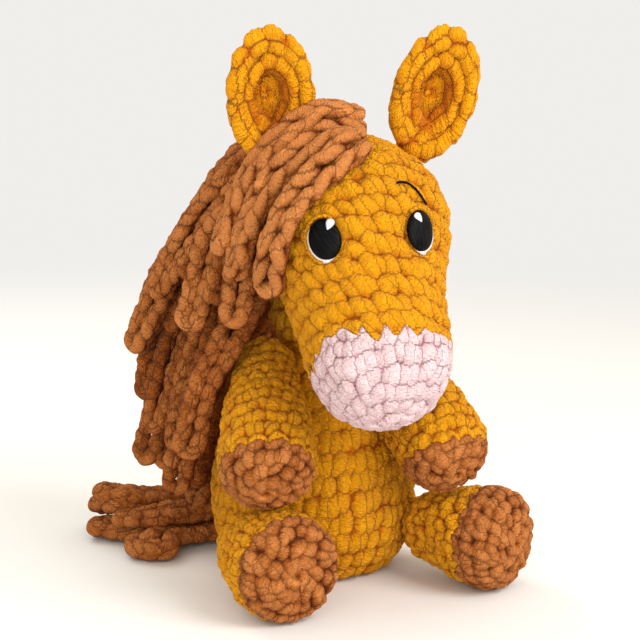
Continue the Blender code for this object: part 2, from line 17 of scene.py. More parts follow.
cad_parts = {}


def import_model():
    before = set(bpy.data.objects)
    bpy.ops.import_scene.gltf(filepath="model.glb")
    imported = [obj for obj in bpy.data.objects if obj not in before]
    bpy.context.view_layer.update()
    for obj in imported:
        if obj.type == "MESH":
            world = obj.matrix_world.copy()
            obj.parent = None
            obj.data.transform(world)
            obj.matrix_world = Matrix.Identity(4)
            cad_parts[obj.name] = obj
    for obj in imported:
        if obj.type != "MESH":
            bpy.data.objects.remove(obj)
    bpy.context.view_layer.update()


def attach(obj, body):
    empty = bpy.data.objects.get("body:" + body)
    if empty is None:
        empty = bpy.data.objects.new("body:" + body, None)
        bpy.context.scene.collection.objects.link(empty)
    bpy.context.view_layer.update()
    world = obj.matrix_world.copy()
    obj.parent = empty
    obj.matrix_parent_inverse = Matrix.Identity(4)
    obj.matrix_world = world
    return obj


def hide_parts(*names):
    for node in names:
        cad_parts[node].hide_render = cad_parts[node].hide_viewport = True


LOG = logging.getLogger("plush_horse")
MM = 0.001

Colour = tuple[float, float, float]
Points = tuple[tuple[float, float], ...]
Route = tuple[tuple[float, float, float], ...]
Socket = bpy.types.NodeSocket


class Side(Enum):
    """The horse's own left and right."""

    LEFT = 1.0
    RIGHT = -1.0

    @property
    def word(self) -> str:
        """The side's name, as the model's nodes use it."""
        return self.name.lower()


# Finishes


def shader_of(material: bpy.types.Material) -> bpy.types.ShaderNode:
    """The material's Principled shader."""
    return material.node_tree.nodes["Principled BSDF"]


def set_inputs(node: bpy.types.Node, values: dict[str, float | tuple[float, ...]]) -> None:
    """Sets a node's own sockets, by their names."""
    for name, value in values.items():
        node.inputs[name].default_value = value


class NodeRow:
    """Adds nodes to a tree and joins their sockets.

    Args:
        tree: The node tree that the nodes go into.
    """

    def __init__(self, tree: bpy.types.NodeTree) -> None:
        self.tree = tree

    def add(self, kind: str, **settings: object) -> bpy.types.Node:
        """Adds a node.

        Args:
            kind: The node's type name without its ShaderNode prefix, or a full type name.
            settings: Properties to set on it.

        Returns:
            The new node.
        """
        name = kind if kind.startswith("NodeGroup") else "ShaderNode" + kind
        node = self.tree.nodes.new(name)
        for key, value in settings.items():
            setattr(node, key, value)
        return node

    def join(self, source: Socket, target: Socket) -> None:
        """Joins an output to an input."""
        self.tree.links.new(source, target)

    def maths(self, operation: str, first: Socket | float, second: Socket | float = 0.0) -> Socket:
        """Adds a Math node.

        Args:
            operation: The operation's name.
            first: A socket or a number.
            second: A socket or a number.

        Returns:
            The result's socket.
        """
        node = self.add("Math", operation=operation)
        for socket, value in zip(node.inputs, (first, second)):
            if isinstance(value, Socket):
                self.join(value, socket)
            else:
                socket.default_value = value
        return node.outputs[0]

    def blend(self, *terms: tuple[Socket, float]) -> Socket:
        """Adds up values, each times its weight."""
        total = self.maths("MULTIPLY", *terms[0])
        for term in terms[1:]:
            total = self.maths("ADD", total, self.maths("MULTIPLY", *term))
        return total

    def centred(self, value: Socket, level: float, share: Socket) -> Socket:
        """Takes a level away from a value and scales what is left."""
        return self.maths("MULTIPLY", self.maths("SUBTRACT", value, level), share)

    def noise(self, vector: Socket, stretch: tuple[float, float, float], detail: float) -> Socket:
        """Adds a noise pattern, stretched along the axes of its vector.

        Args:
            vector: The pattern's coordinates.
            stretch: Cycles for each unit along each axis.
            detail: Octaves of finer noise.

        Returns:
            The pattern's value socket.
        """
        stretched = self.add("VectorMath", operation="MULTIPLY")
        stretched.inputs[1].default_value = stretch
        self.join(vector, stretched.inputs[0])
        node = self.add("TexNoise")
        set_inputs(node, {"Scale": 1.0, "Detail": detail})
        self.join(stretched.outputs[0], node.inputs["Vector"])
        return node.outputs[0]

    def ramp(self, value: Socket, *stops: tuple[float, Colour]) -> Socket:
        """Adds a colour ramp.

        Args:
            value: What it reads.
            stops: Each place on the ramp with its colour, in order.

        Returns:
            The colour's socket.
        """
        node = self.add("ValToRGB")
        self.join(value, node.inputs["Fac"])
        ends = zip(node.color_ramp.elements, (stops[0], stops[-1]))
        for element, (position, colour) in ends:
            element.position, element.color = position, (*colour, 1.0)
        for position, colour in stops[1:-1]:
            node.color_ramp.elements.new(position).color = (*colour, 1.0)
        return node.outputs["Color"]

    def bump(self, height: Socket, distance: float, strength: float) -> Socket:
        """Adds a bump.

        Args:
            height: The height that it reads.
            distance: The distance that one unit of it stands for.
            strength: The bump's strength.

        Returns:
            The normal's socket.
        """
        node = self.add("Bump")
        set_inputs(node, {"Distance": distance, "Strength": strength})
        self.join(height, node.inputs["Height"])
        return node.outputs["Normal"]


class PileGroup:
    """The shared node group for short pile: ribs across each puffed stitch, and flecks of fibre, partly
    painted highlight.
    """

    NAME = "yarn_pile"
    RIBS = (0.95, 0.26, 3.7)
    FIBRES = (2.1, 1.7, 5.1)
    TUFTS = (0.42, 0.42, 2.3)
    PATCHES = (0.05, 0.05, 11.3)
    MEAN_HEIGHT = 1.17
    MEAN_FLECK = 0.5

    @classmethod
    def get(cls) -> bpy.types.NodeTree:
        """Returns the group, built the first time it is asked for."""
        if cls.NAME in bpy.data.node_groups:
            return bpy.data.node_groups[cls.NAME]
        tree = bpy.data.node_groups.new(cls.NAME, "ShaderNodeTree")
        tree.interface.new_socket("Vector", in_out="INPUT", socket_type="NodeSocketVector")
        tree.interface.new_socket("Inside", in_out="INPUT", socket_type="NodeSocketFloat")
        for name in ("Height", "Fleck", "Patch"):
            tree.interface.new_socket(name, in_out="OUTPUT", socket_type="NodeSocketFloat")
        row = NodeRow(tree)
        source = row.add("NodeGroupInput")
        result = row.add("NodeGroupOutput")
        vector, inside = source.outputs["Vector"], source.outputs["Inside"]
        ribs = row.noise(vector, cls.RIBS, 1.0)
        fibres = row.noise(vector, cls.FIBRES, 2.0)
        tufts = row.noise(vector, cls.TUFTS, 1.0)
        height = row.blend((ribs, 1.0), (fibres, 0.55), (tufts, 0.8))
        # Flecks, lighter on the tops of the ribs and fibres: partly their own random tone, partly painted
        # highlight
        fleck = row.blend((fibres, 0.5), (ribs, 0.5))
        row.join(row.centred(height, cls.MEAN_HEIGHT, inside), result.inputs["Height"])
        row.join(row.centred(fleck, cls.MEAN_FLECK, inside), result.inputs["Fleck"])
        row.join(row.noise(vector, cls.PATCHES, 0.0), result.inputs["Patch"])
        return tree


@dataclass(frozen=True)
class Finish:
    """A finish whose material is built the first time it is asked for.

    Attributes:
        name: The material's name.
    """

    name: str

    def build(self) -> bpy.types.Material:
        """Returns the material, built once."""
        if self.name in bpy.data.materials:
            return bpy.data.materials[self.name]
        material = bpy.data.materials.new(self.name)
        material.use_nodes = True
        self.wire(NodeRow(material.node_tree), shader_of(material))
        return material

    def wire(self, row: NodeRow, shader: bpy.types.ShaderNode) -> None:
        """Gives the shader what it reads.

        Args:
            row: Adds the material's nodes.
            shader: The material's shader.
        """
        raise NotImplementedError


@dataclass(frozen=True)
class Chenille(Finish):
    """Soft chenille yarn, with shade painted into the creases between its stitches.

    Attributes:
        crest: Its colour where a stitch stands highest.
        crease: Painted shade: its colour between the stitches, where shade falls.
        sheen: Weight of the soft glow of the pile.
        relief: Height of the pile's own bumps.
        lightness: How near the crest's colour the painted shade on a stitch's flanks is, as a share for each
            channel.
    """

    crest: Colour
    crease: Colour
    sheen: float = 0.06
    relief: float = 3.1 * MM
    lightness: Colour = (0.65, 0.65, 0.65)

    @property
    def flank(self) -> Colour:
        """Its colour on a stitch's flanks, a lighter painted shade."""
        channels = zip(self.crease, self.crest, self.lightness)
        return tuple(low + part * (top - low) for low, top, part in channels)

    def wire(self, row: NodeRow, shader: bpy.types.ShaderNode) -> None:
        """Colours and raises the pile after the relief that each point carries; low points are painted with
        shade.

        Args:
            row: Adds the material's nodes.
            shader: The material's shader.
        """
        pile = row.add("Group", node_tree=PileGroup.get())
        row.join(row.add("Attribute", attribute_name="pile").outputs["Vector"], pile.inputs["Vector"])
        row.join(row.add("Attribute", attribute_name="inside").outputs["Fac"], pile.inputs["Inside"])
        puff = row.add("Attribute", attribute_name="puff").outputs["Fac"]
        patch = row.maths("SUBTRACT", pile.outputs["Patch"], 0.5)
        # Painted shade: the lower a point lies in the relief, the nearer its colour to the painted shade of
        # the creases
        tone = row.blend((puff, 0.82), (pile.outputs["Fleck"], 1.5), (patch, 0.6))
        colour = row.ramp(tone, (0.02, self.crease), (0.45, self.flank), (0.98, self.crest))
        row.join(colour, shader.inputs["Base Color"])
        row.join(row.bump(pile.outputs["Height"], self.relief, 1.0), shader.inputs["Normal"])
        set_inputs(shader, {
            "Roughness": 0.92,
            "Specular IOR Level": 0.1,
            "Sheen Weight": self.sheen,
            "Sheen Roughness": 0.45,
            "Sheen Tint": (*(0.5 + 0.5 * part for part in self.crest), 1.0),
        })


@dataclass(frozen=True)
class Thread(Finish):
    """Embroidery thread laid side by side in satin stitch.

    Attributes:
        colour: The thread's colour.
        roughness: How matt it is.
        contrast: Shares of the colour painted between the strands, as shade, and on them, as highlight.
        strands: Cycles of the pattern across a pad, and along it.
    """

    colour: Colour
    roughness: float = 0.34
    contrast: tuple[float, float] = (0.55, 1.0)
    strands: tuple[float, float] = (24.2, 2.2)

    def wire(self, row: NodeRow, shader: bpy.types.ShaderNode) -> None:
        """Colours and raises the strands over the piece's own UV map, with painted shade between them and
        painted highlight on them.

        Args:
            row: Adds the material's nodes.
            shader: The material's shader.
        """
        strands = row.noise(row.add("UVMap").outputs["UV"], (*self.strands, 1.0), 2.0)
        # Painted shade between the strands and painted highlight on them
        low, high = (tuple(share * part for part in self.colour) for share in self.contrast)
        row.join(row.ramp(strands, (0.38, low), (0.62, high)), shader.inputs["Base Color"])
        row.join(row.bump(strands, 0.5 * MM, 0.9), shader.inputs["Normal"])
        set_inputs(shader, {"Roughness": self.roughness, "Specular IOR Level": 0.06})


# Each yarn's crest is its own colour; its colour for the creases is painted shade between the stitches
MUSTARD = Chenille("mustard_yarn_pile", (0.87, 0.38, 0.004), (0.52, 0.12, 0.0005))
BROWN = Chenille("brown_yarn_pile", (0.65, 0.232, 0.060), (0.12, 0.014, 0.0003), lightness=(0.47, 0.39, 0.20))
PALE_PINK = Chenille("pale_pink_yarn_pile", (0.90, 0.68, 0.70), (0.62, 0.30, 0.35), relief=2.6 * MM)
BLACK = Thread("black_thread_satin", (0.0035, 0.0035, 0.004), roughness=0.38, contrast=(0.1, 1.7))
WHITE = Thread("white_thread_satin", (0.86, 0.85, 0.90), roughness=0.5)


# Points and meshes


def unit_rows(rows: np.ndarray) -> np.ndarray:
    """Each row, scaled to a length of one."""
    return rows / np.maximum(np.linalg.norm(rows, axis=1, keepdims=True), 1e-9)


def square_to(ways: np.ndarray, ahead: np.ndarray) -> np.ndarray:
    """Each way, turned square to the unit row ahead of it."""
    return unit_rows(ways - ahead * np.sum(ways * ahead, axis=1, keepdims=True))


def distances(line: np.ndarray) -> np.ndarray:
    """How far each point of a line lies along it."""
    return np.concatenate([[0.0], np.cumsum(np.linalg.norm(np.diff(line, axis=0), axis=1))])


def rows_at(where: np.ndarray, far: np.ndarray, rows: np.ndarray) -> np.ndarray:
    """Reads rows off between known places.

    Args:
        where: The places to read at.
        far: The known places, in order.
        rows: The row at each known place.

    Returns:
        A row for each place that is read at.
    """
    return np.stack([np.interp(where, far, column) for column in rows.T], axis=1)


def eased(share: np.ndarray) -> np.ndarray:
    """A share from 0 to 1 that starts and ends softly."""
    return share * share * (3.0 - 2.0 * share)


def read_places(piece: bpy.types.Object) -> np.ndarray:
    """The places of a mesh's points, one a row."""
    places = np.empty(len(piece.data.vertices) * 3)
    piece.data.vertices.foreach_get("co", places)
    return places.reshape(-1, 3)


def write_places(piece: bpy.types.Object, places: np.ndarray) -> None:
    """Moves a mesh's points to new places, one a row."""
    piece.data.vertices.foreach_set("co", places.astype(np.float32).ravel())


def axes(across: Vector, upward: Vector, out: Vector) -> Matrix:
    """The matrix that turns local X, Y and Z to three directions."""
    return Matrix((across, upward, out)).transposed().to_4x4()


def axis_frame(origin: Vector, aim: Vector, seam: Vector) -> Matrix:
    """A placing matrix.

    Args:
        origin: Where the outline starts.
        aim: The axis, local +Z.
        seam: Roughly where the seam faces, local -X.

    Returns:
        The matrix.
    """
    along = aim.normalized()
    front = -(seam - along * seam.dot(along)).normalized()
    return Matrix.Translation(origin) @ axes(front, along.cross(front), along)


def settle(piece: bpy.types.Object, matrix: Matrix) -> bpy.types.Object:
    """Moves a piece's mesh into place, and leaves its object at the origin."""
    piece.data.transform(matrix)
    piece.data.update()
    return piece


def bare_ball(name: str, segments: int, rings: int) -> tuple[bpy.types.Object, np.ndarray, np.ndarray]:
    """Adds a ball to be shaped.

    Args:
        name: The object's name.
        segments: Faces round it.
        rings: Faces from pole to pole.

    Returns:
        The object, each point's share of a turn, and its share of the way from pole to pole.
    """
    bpy.ops.object.select_all(action="DESELECT")
    bpy.ops.mesh.primitive_uv_sphere_add(segments=segments, ring_count=rings, radius=1.0)
    ball = bpy.context.object
    ball.name = name
    ball.data.name = name
    places = read_places(ball)
    turn = np.arctan2(places[:, 1], places[:, 0]) / math.tau + 0.5
    share = np.arccos(np.clip(-places[:, 2], -1.0, 1.0)) / math.pi
    return ball, turn, share


def lattice_noise(places: np.ndarray, size: float, seed: int) -> np.ndarray:
    """Smooth random values from -1 to 1 over space.

    Args:
        places: Points, one a row.
        size: Distance over which the values change.
        seed: Picks the values.

    Returns:
        One value for each point.
    """
    scaled_places = places / size
    low = np.floor(scaled_places).astype(np.int64)
    part = scaled_places - low
    part = eased(part)
    total = np.zeros(len(places))
    for corner in range(8):
        step = np.array([corner & 1, (corner >> 1) & 1, corner >> 2])
        x, y, z = (low + step).T
        mixed = (x * 73856093) ^ (y * 19349663) ^ (z * 83492791) ^ (seed * 2654435)
        mixed = (mixed ^ (mixed >> 13)) * 1274126177
        value = ((mixed ^ (mixed >> 16)) & 0xFFFF) / 32767.5 - 1.0
        total += value * np.prod(np.where(step == 1, part, 1.0 - part), axis=1)
    return total


@dataclass(frozen=True)
class Bumps:
    """Random bumps over a surface.

    Attributes:
        size: Distance over which they change.
        height: Their height.
        shift: What is added to the seed.
    """

    size: float
    height: float
    shift: int = 0

    def over(self, places: np.ndarray, seed: int) -> np.ndarray:
        """Their height at each place."""
        return lattice_noise(places, self.size, seed + self.shift) * self.height

    def along(self, line: np.ndarray, seed: int) -> np.ndarray:
        """Their height at each distance along a line."""
        return self.over(np.column_stack([line, line * 0.0, line * 0.0]), seed)


# The stuffing's lumps, the pile's tufts, ribs across each leg of a stitch, and loose fibres
LUMPS = Bumps(26.0 * MM, 0.9 * MM)
TUFTS = Bumps(4.5 * MM, 0.55 * MM, 1)
RIBS = Bumps(1.8, 0.42 * MM, 2)
FIBRES = Bumps(1.6 * MM, 0.3 * MM, 3)
# A cord's own ribs and fibres, its changes of thickness, and how its front turns, as a share of a turn
CORD_RIBS = Bumps(1.7, 0.5 * MM)
CORD_FIBRES = Bumps(1.4 * MM, 0.24 * MM, 1)
CORD_SWELL = Bumps(9.0 * MM, 0.45 * MM, 2)
CORD_ROLL = Bumps(30.0 * MM, 0.16)
# How ribs are stretched along a leg, across it, and from one leg to the next
RIB_STRETCH = np.array([1.0, 0.25, 5.0])


# Turned outlines and stitches


@dataclass(frozen=True)
class Outline:
    """The outline that a form is turned from.

    Attributes:
        points: (along, radius) pairs from one end of the axis to the other.
    """

    points: Points

    def smooth(self, count: int = 400) -> tuple[np.ndarray, np.ndarray, np.ndarray]:
        """Rounds the corners and spaces points evenly along the outline.

        Args:
            count: How many points to return.

        Returns:
            The points, their outward normals, and the distance of each along the outline.
        """
        line = np.array(self.points)
        for _ in range(3):
            ahead = 0.75 * line[:-1] + 0.25 * line[1:]
            behind = 0.25 * line[:-1] + 0.75 * line[1:]
            inner = np.stack([ahead, behind], axis=1).reshape(-1, 2)
            line = np.vstack([line[:1], inner[1:-1], line[-1:]])
        far = distances(line)
        even = np.linspace(0.0, far[-1], count)
        spaced = rows_at(even, far, line)
        slope = unit_rows(np.gradient(spaced, axis=0))
        normals = np.stack([-slope[:, 1], slope[:, 0]], axis=1)
        return spaced, normals, even

    def distance_at(self, along: float) -> float:
        """The distance along the outline where its axis has come this far."""
        points, _, far = self.smooth()
        return float(np.interp(along, points[:, 0], far))


def scaled(shares: Points, length: float, radius: float) -> Points:
    """Scales a table of (share of length, share of radius)."""
    return tuple((along * length, share * radius) for along, share in shares)


def ball_arc(radius: float, count: int) -> Points:
    """The first points of a ball's outline round its middle, of 17 in all."""
    angles = (math.pi * step / 16 for step in range(count))
    return tuple((-radius * math.cos(angle), radius * math.sin(angle)) for angle in angles)


@dataclass(frozen=True)
class Lobe:
    """One leg of a stitch, as a puffed oval.

    Attributes:
        aside: Its middle, as a share of the stitch's width from the stitch's middle.
        down: Its middle, as a share of the round's height.
        length: Its length, as a share of the stitch's width.
        thickness: Its thickness, as a share of the stitch's width.
        slant: Its lean from the round's own direction, in degrees.
        height: Its height, as a share of the relief.
    """

    aside: float
    down: float
    length: float
    thickness: float
    slant: float
    height: float = 1.0


@dataclass(frozen=True)
class Stitches:
    """How a surface is crocheted.

    Attributes:
        width: Width of one stitch.
        row: Height of one round.
        relief: Height of the puffed stitches over the creases.
        sink: How far the creases lie under the form's own surface.
        lobes: The legs of one stitch.
        hand: +1 or -1, the way in which the stitches lean.
        spiral: +1 or -1, the way in which the rounds climb.
        lean: How far each round's stitches shift against the round before.
        jitter: How uneven the stitches are.
    """

    width: float = 12.8 * MM
    row: float = 10.8 * MM
    relief: float = 3.7 * MM
    sink: float = 2.5 * MM
    lobes: tuple[Lobe, ...] = (
        Lobe(-0.22, -0.02, 1.26, 0.84, 56.0, 1.0),
        Lobe(0.27, 0.05, 1.20, 0.72, 42.0, 0.94),
    )
    hand: float = 1.0
    spiral: float = 1.0
    lean: float = 0.42
    jitter: float = 0.16


# Upright legs in level rounds, round bobbles in pairs, the nose's short legs, and a hoof's small ones
TALL = Stitches(
    width=14.2 * MM, row=12.4 * MM, relief=3.3 * MM, sink=2.2 * MM, lean=0.12,
    lobes=(Lobe(-0.25, 0.0, 1.2, 0.78, 72.0, 1.0), Lobe(0.25, 0.03, 1.18, 0.74, 78.0, 0.97)),
)
BOBBLES = Stitches(
    width=11.4 * MM, row=8.8 * MM, relief=3.2 * MM, sink=2.1 * MM, lean=0.33, jitter=0.2,
    lobes=(Lobe(-0.24, 0.0, 1.08, 0.80, 58.0, 1.0), Lobe(0.26, 0.04, 1.04, 0.76, -52.0, 0.96)),
)
NOSE = Stitches(
    width=11.0 * MM, row=10.0 * MM, relief=3.1 * MM, sink=2.1 * MM, lean=0.3, jitter=0.19,
    lobes=(Lobe(-0.25, 0.0, 1.3, 0.90, 84.0, 1.0), Lobe(0.25, 0.03, 1.24, 0.84, 98.0, 0.95)),
)
HOOF = Stitches(
    width=9.6 * MM, row=8.2 * MM, relief=3.1 * MM, sink=2.0 * MM, lean=0.4, jitter=0.19,
    lobes=(Lobe(-0.2, 0.0, 1.26, 0.98, 70.0, 1.0), Lobe(0.28, 0.05, 1.18, 0.88, 50.0, 0.92)),
)


@dataclass
class Relief:
    """What the stitches do at each point: their height, the place within the leg, and how far inside it."""

    height: np.ndarray
    pile: np.ndarray
    inside: np.ndarray


class Union:
    """Joins puffed legs softly into one relief.

    Args:
        count: How many points the surface has.
        blur: How softly the legs run together.
        power: How round a leg's crown is.
    """

    BELOW_ALL = -99.0
    CLEAR_LEAD = 0.14
    TOP = 1.2

    def __init__(self, count: int, blur: float, power: float) -> None:
        self.blur = blur
        self.power = power
        self.best = np.full(count, self.BELOW_ALL)
        self.next = np.full(count, self.BELOW_ALL)
        self.soft = np.zeros(count)
        self.pile = np.zeros((count, 3))

    def add(
        self, reach: np.ndarray, top: np.ndarray, run: np.ndarray, cross: np.ndarray, chance: np.ndarray
    ) -> None:
        """Adds a leg.

        Args:
            reach: Distance from its middle, squared, where one is its edge.
            top: Its greatest height.
            run: Distance along it.
            cross: Distance across it.
            chance: A number that tells it from others.
        """
        high = top * np.clip(1.0 - reach, 0.0, 1.0) ** self.power
        self.soft += np.exp(high / self.blur) - 1.0
        rank = np.where(reach < 1.0, high, 0.2 * (1.0 - reach))
        wins = rank > self.best
        self.next = np.where(wins, self.best, np.maximum(self.next, rank))
        self.best = np.where(wins, rank, self.best)
        self.pile[wins] = np.stack([run / MM, cross / MM, chance * 9.0], axis=1)[wins]

    def relief(self) -> Relief:
        """The joined relief."""
        inside = np.clip((self.best - self.next) / self.CLEAR_LEAD, 0.0, 1.0)
        height = np.clip(self.blur * np.log1p(self.soft), 0.0, self.TOP)
        return Relief(height, self.pile, inside)


# Size of a table of chances, and the steps through it from round to round, stitch to stitch and leg to leg
CHANCES = 4096
ROUND_STEP, STITCH_STEP, LEG_STEP = 131, 17, 977
# How uneven a leg's lean and its height are, for each unit of chance, and how much lower its far end is
LEAN_CHANCE, HEIGHT_CHANCE, FAR_END = 1.6, 0.12, 0.16


def stitch_relief(
    turn: np.ndarray, down: np.ndarray, radius: np.ndarray, counts: np.ndarray, knit: Stitches, seed: int
) -> Relief:
    """Works out the stitches' relief.

    Args:
        turn: Share of a whole turn round the form, from its seam.
        down: Distance along the outline.
        radius: Radius of the form at each point.
        counts: Stitches in each round.
        knit: How the surface is crocheted.
        seed: Picks the unevenness.

    Returns:
        The relief at each point.
    """
    table = np.random.default_rng(seed).uniform(-1.0, 1.0, (CHANCES, 5))
    rounds = down / knit.row - knit.spiral * turn
    union = Union(len(turn), blur=0.13, power=0.66)
    for step in (-1, 0, 1):
        number = np.floor(rounds) + step
        count = counts[np.clip(number.astype(int) + 1, 0, len(counts) - 1)]
        column = turn * count + number * knit.lean
        for beside in (-1, 0, 1):
            place = np.floor(column) + beside
            pick = (number * ROUND_STEP + np.mod(place, count) * STITCH_STEP).astype(int) % CHANCES
            for index, lobe in enumerate(knit.lobes):
                chance = table[(pick + index * LEG_STEP) % CHANCES]
                aside = column - place - 0.5 - knit.hand * lobe.aside - knit.jitter * chance[:, 0]
                along_round = knit.hand * aside * math.tau * radius / count
                along_form = (rounds - number - 0.5 - lobe.down - knit.jitter * chance[:, 1]) * knit.row
                angle = math.radians(lobe.slant) + knit.jitter * LEAN_CHANCE * chance[:, 2]
                run = along_round * np.cos(angle) + along_form * np.sin(angle)
                cross = -along_round * np.sin(angle) + along_form * np.cos(angle)
                half_run = lobe.length * knit.width / 2.0 * (1.0 + knit.jitter * chance[:, 3])
                half_cross = lobe.thickness * knit.width / 2.0 * (1.0 + knit.jitter * chance[:, 4])
                reach = (run / half_run) ** 2 + (cross / half_cross) ** 2
                top = lobe.height * (1.0 + HEIGHT_CHANCE * chance[:, 3])
                top = top * (1.0 - FAR_END * np.clip(run / half_run, -1.0, 1.0))
                union.add(reach, top, run, cross, chance[:, 0])
    return union.relief()


@dataclass(frozen=True)
class Dent:
    """A place that embroidery presses flat.

    Attributes:
        place: Its middle.
        reach: Its radius.
        level: How deep it lies.
        flat: The share of the radius that lies flat.
        edge: The share of the radius over which the stitches rise again.
    """

    place: Vector
    reach: float
    level: float = -1.2 * MM
    flat: float = 0.72
    edge: float = 0.40


@dataclass(frozen=True)
class Puff:
    """A fuller place beside the change of yarn.

    Attributes:
        place: Its middle.
        reach: Its radius.
        rise: How far it stands out.
        turn: The share of a turn that its middle lies at.
        half: Half its width, as a share of a turn.
        sooner: How much sooner the yarn changes there.
    """

    place: Vector
    reach: float
    rise: float
    turn: float
    half: float
    sooner: float


def set_shape(piece: bpy.types.Object, places: np.ndarray, relief: Relief) -> None:
    """Moves a piece's points and stores the relief for its material, which paints shade where the relief is
    low.

    Args:
        piece: The piece.
        places: Each point's place.
        relief: The stitches' relief.
    """
    write_places(piece, places)
    for name, kind, key, values in (
        ("puff", "FLOAT", "value", relief.height),
        ("pile", "FLOAT_VECTOR", "vector", relief.pile),
        ("inside", "FLOAT", "value", relief.inside),
    ):
        layer = piece.data.attributes.new(name, kind, "POINT")
        layer.data.foreach_set(key, values.astype(np.float32).ravel())
    piece.data.update()
    piece.data.shade_smooth()


def keep_part(piece: bpy.types.Object, name: str, late: np.ndarray, keep: bool) -> bpy.types.Object:
    """Copies part of a piece as a closed piece of its own.

    Args:
        piece: The whole form.
        name: The new piece's name.
        late: For each point, whether it lies past the change of yarn.
        keep: Whether the part is the one past the change.

    Returns:
        The new piece.
    """
    part = bpy.data.objects.new(name, piece.data.copy())
    part.data.name = name
    bpy.context.scene.collection.objects.link(part)
    mesh = bmesh.new()
    mesh.from_mesh(part.data)
    mesh.verts.ensure_lookup_table()
    doomed = []
    for face in mesh.faces:
        beyond = sum(late[corner.index] for corner in face.verts) * 2 > len(face.verts)
        if beyond != keep:
            doomed.append(face)
    bmesh.ops.delete(mesh, geom=doomed, context="FACES")
    bmesh.ops.holes_fill(mesh, edges=[edge for edge in mesh.edges if edge.is_boundary], sides=0)
    mesh.to_mesh(part.data)
    mesh.free()
    return part


@dataclass
class StuffedForm:
    """A crocheted and stuffed form of revolution.

    Attributes:
        name: The piece's name.
        outline: The outline it is turned from.
        place: The matrix that puts it in place, with local +Z along its axis and its seam at -X.
        knit: How it is crocheted.
        fineness: Size of one face of its mesh.
        floor: The lowest height its points may have.
        dents: Places pressed flat by embroidery.
        puffs: Fuller places beside the change of yarn.
        seed: Picks its unevenness.
        change: Distance along the outline where the yarn changes, or zero.
        later: How it is crocheted after the change.
        teeth: How many teeth that change has round the form.
        tooth: Half the height of one tooth.
        tilt: How much later the yarn changes on the upper side.
    """

    name: str
    outline: Outline
    place: Matrix
    knit: Stitches = Stitches()
    fineness: float = 0.95 * MM
    floor: float = 0.3 * MM
    dents: tuple[Dent, ...] = ()
    puffs: tuple[Puff, ...] = ()
    seed: int = 1
    change: float = 0.0
    later: Stitches = Stitches()
    teeth: int = 20
    tooth: float = 4.0 * MM
    tilt: float = 0.0
    late: np.ndarray | None = field(default=None, init=False)

    # Faces round the form, as a share of what its widest round would need
    ROUND_SHARE = 0.92
    # The relief left at a pole, how far stitches take to rise from there or from a change of yarn, and the
    # height of the ridge at the change
    POLE_HEIGHT = 0.12
    SOFT_REACH = 4.2 * MM
    RIDGE = 0.46
    # How uneven the teeth of a change of yarn are in place and in height, and how pointed
    TEETH_ASTRAY = 0.22
    TEETH_UNEVEN = 0.25
    TEETH_POINT = 1.3

    def build(self) -> bpy.types.Object:
        """Builds the whole form and returns it."""
        points, normals, far = self.outline.smooth()
        segments = int(math.tau * points[:, 1].max() * self.ROUND_SHARE / self.fineness)
        piece, turn, share = bare_ball(self.name, segments, int(far[-1] / self.fineness))
        down = share * far[-1]
        along, radius = rows_at(down, far, points).T
        normal_along, normal_out = rows_at(down, far, normals).T
        angle = (turn - 0.5) * math.tau
        flat = np.stack([np.cos(angle), np.sin(angle)], axis=1)
        turned = np.column_stack([flat * radius[:, None], along])
        outward = np.column_stack([flat * normal_out[:, None], normal_along])
        matrix = np.array(self.place)
        world = turned @ matrix[:3, :3].T + matrix[:3, 3]
        ways = outward @ matrix[:3, :3].T
        relief = self.stitched(self.knit, turn, down, radius, far[-1])
        rise, sink = self.knit.relief, self.knit.sink
        if self.change:
            past = self.past_change(turn, down, flat @ matrix[2, :2])
            self.late = past >= 0.0
            relief = self.met(relief, self.stitched(self.later, turn, down, radius, far[-1]), past)
            rise = np.where(self.late, self.later.relief, rise)
            sink = np.where(self.late, self.later.sink, sink)
        relief.height *= np.clip(self.POLE_HEIGHT + radius / self.SOFT_REACH, 0.0, 1.0)
        raised = self.pressed(world, relief.height * rise - sink + self.pile(world, relief))
        world = world + ways * raised[:, None]
        world[:, 2] = np.maximum(world[:, 2], self.floor)
        set_shape(piece, world, relief)
        return piece

    def met(self, first: Relief, later: Relief, past: np.ndarray) -> Relief:
        """Joins the reliefs before and after the change of yarn, with a smooth ridge between.

        Args:
            first: The relief before the change.
            later: The relief after it.
            past: How far each point lies past the change.

        Returns:
            The whole relief.
        """
        ease = np.clip(np.abs(past) / self.SOFT_REACH, 0.0, 1.0)
        ridge = self.RIDGE + self.RIDGE * np.sqrt(1.0 - (1.0 - ease) ** 2)
        height = ridge * (1.0 - ease) + np.where(self.late, later.height, first.height) * ease
        pile = np.where(self.late[:, None], later.pile, first.pile)
        inside = np.where(self.late, later.inside, first.inside) * np.clip(ease * 3.0, 0.0, 1.0)
        return Relief(height, pile, inside)

    def pile(self, world: np.ndarray, relief: Relief) -> np.ndarray:
        """The unevenness of the stuffing, and of the pile on each leg.

        Args:
            world: Each point's place on the smooth form.
            relief: The stitches' relief.

        Returns:
            Heights to add.
        """
        ribs = RIBS.over(relief.pile * RIB_STRETCH, self.seed) * relief.inside
        soft = LUMPS.over(world, self.seed) + TUFTS.over(world, self.seed)
        return soft + ribs + FIBRES.over(world, self.seed)

    def stitched(
        self, knit: Stitches, turn: np.ndarray, down: np.ndarray, radius: np.ndarray, whole: float
    ) -> Relief:
        """The relief of one kind of stitch.

        Args:
            knit: The stitch.
            turn: Share of a turn round the form.
            down: Distance along the outline.
            radius: Radius of the form.
            whole: The outline's whole length.

        Returns:
            The relief.
        """
        rounds = (np.arange(-1, int(whole / knit.row) + 3) + 0.5) * knit.row
        order = np.argsort(down)[::50]
        width = np.interp(rounds, down[order], radius[order])
        counts = np.maximum(np.round(math.tau * width / knit.width), 6.0)
        return stitch_relief(turn, down, radius, counts, knit, self.seed)

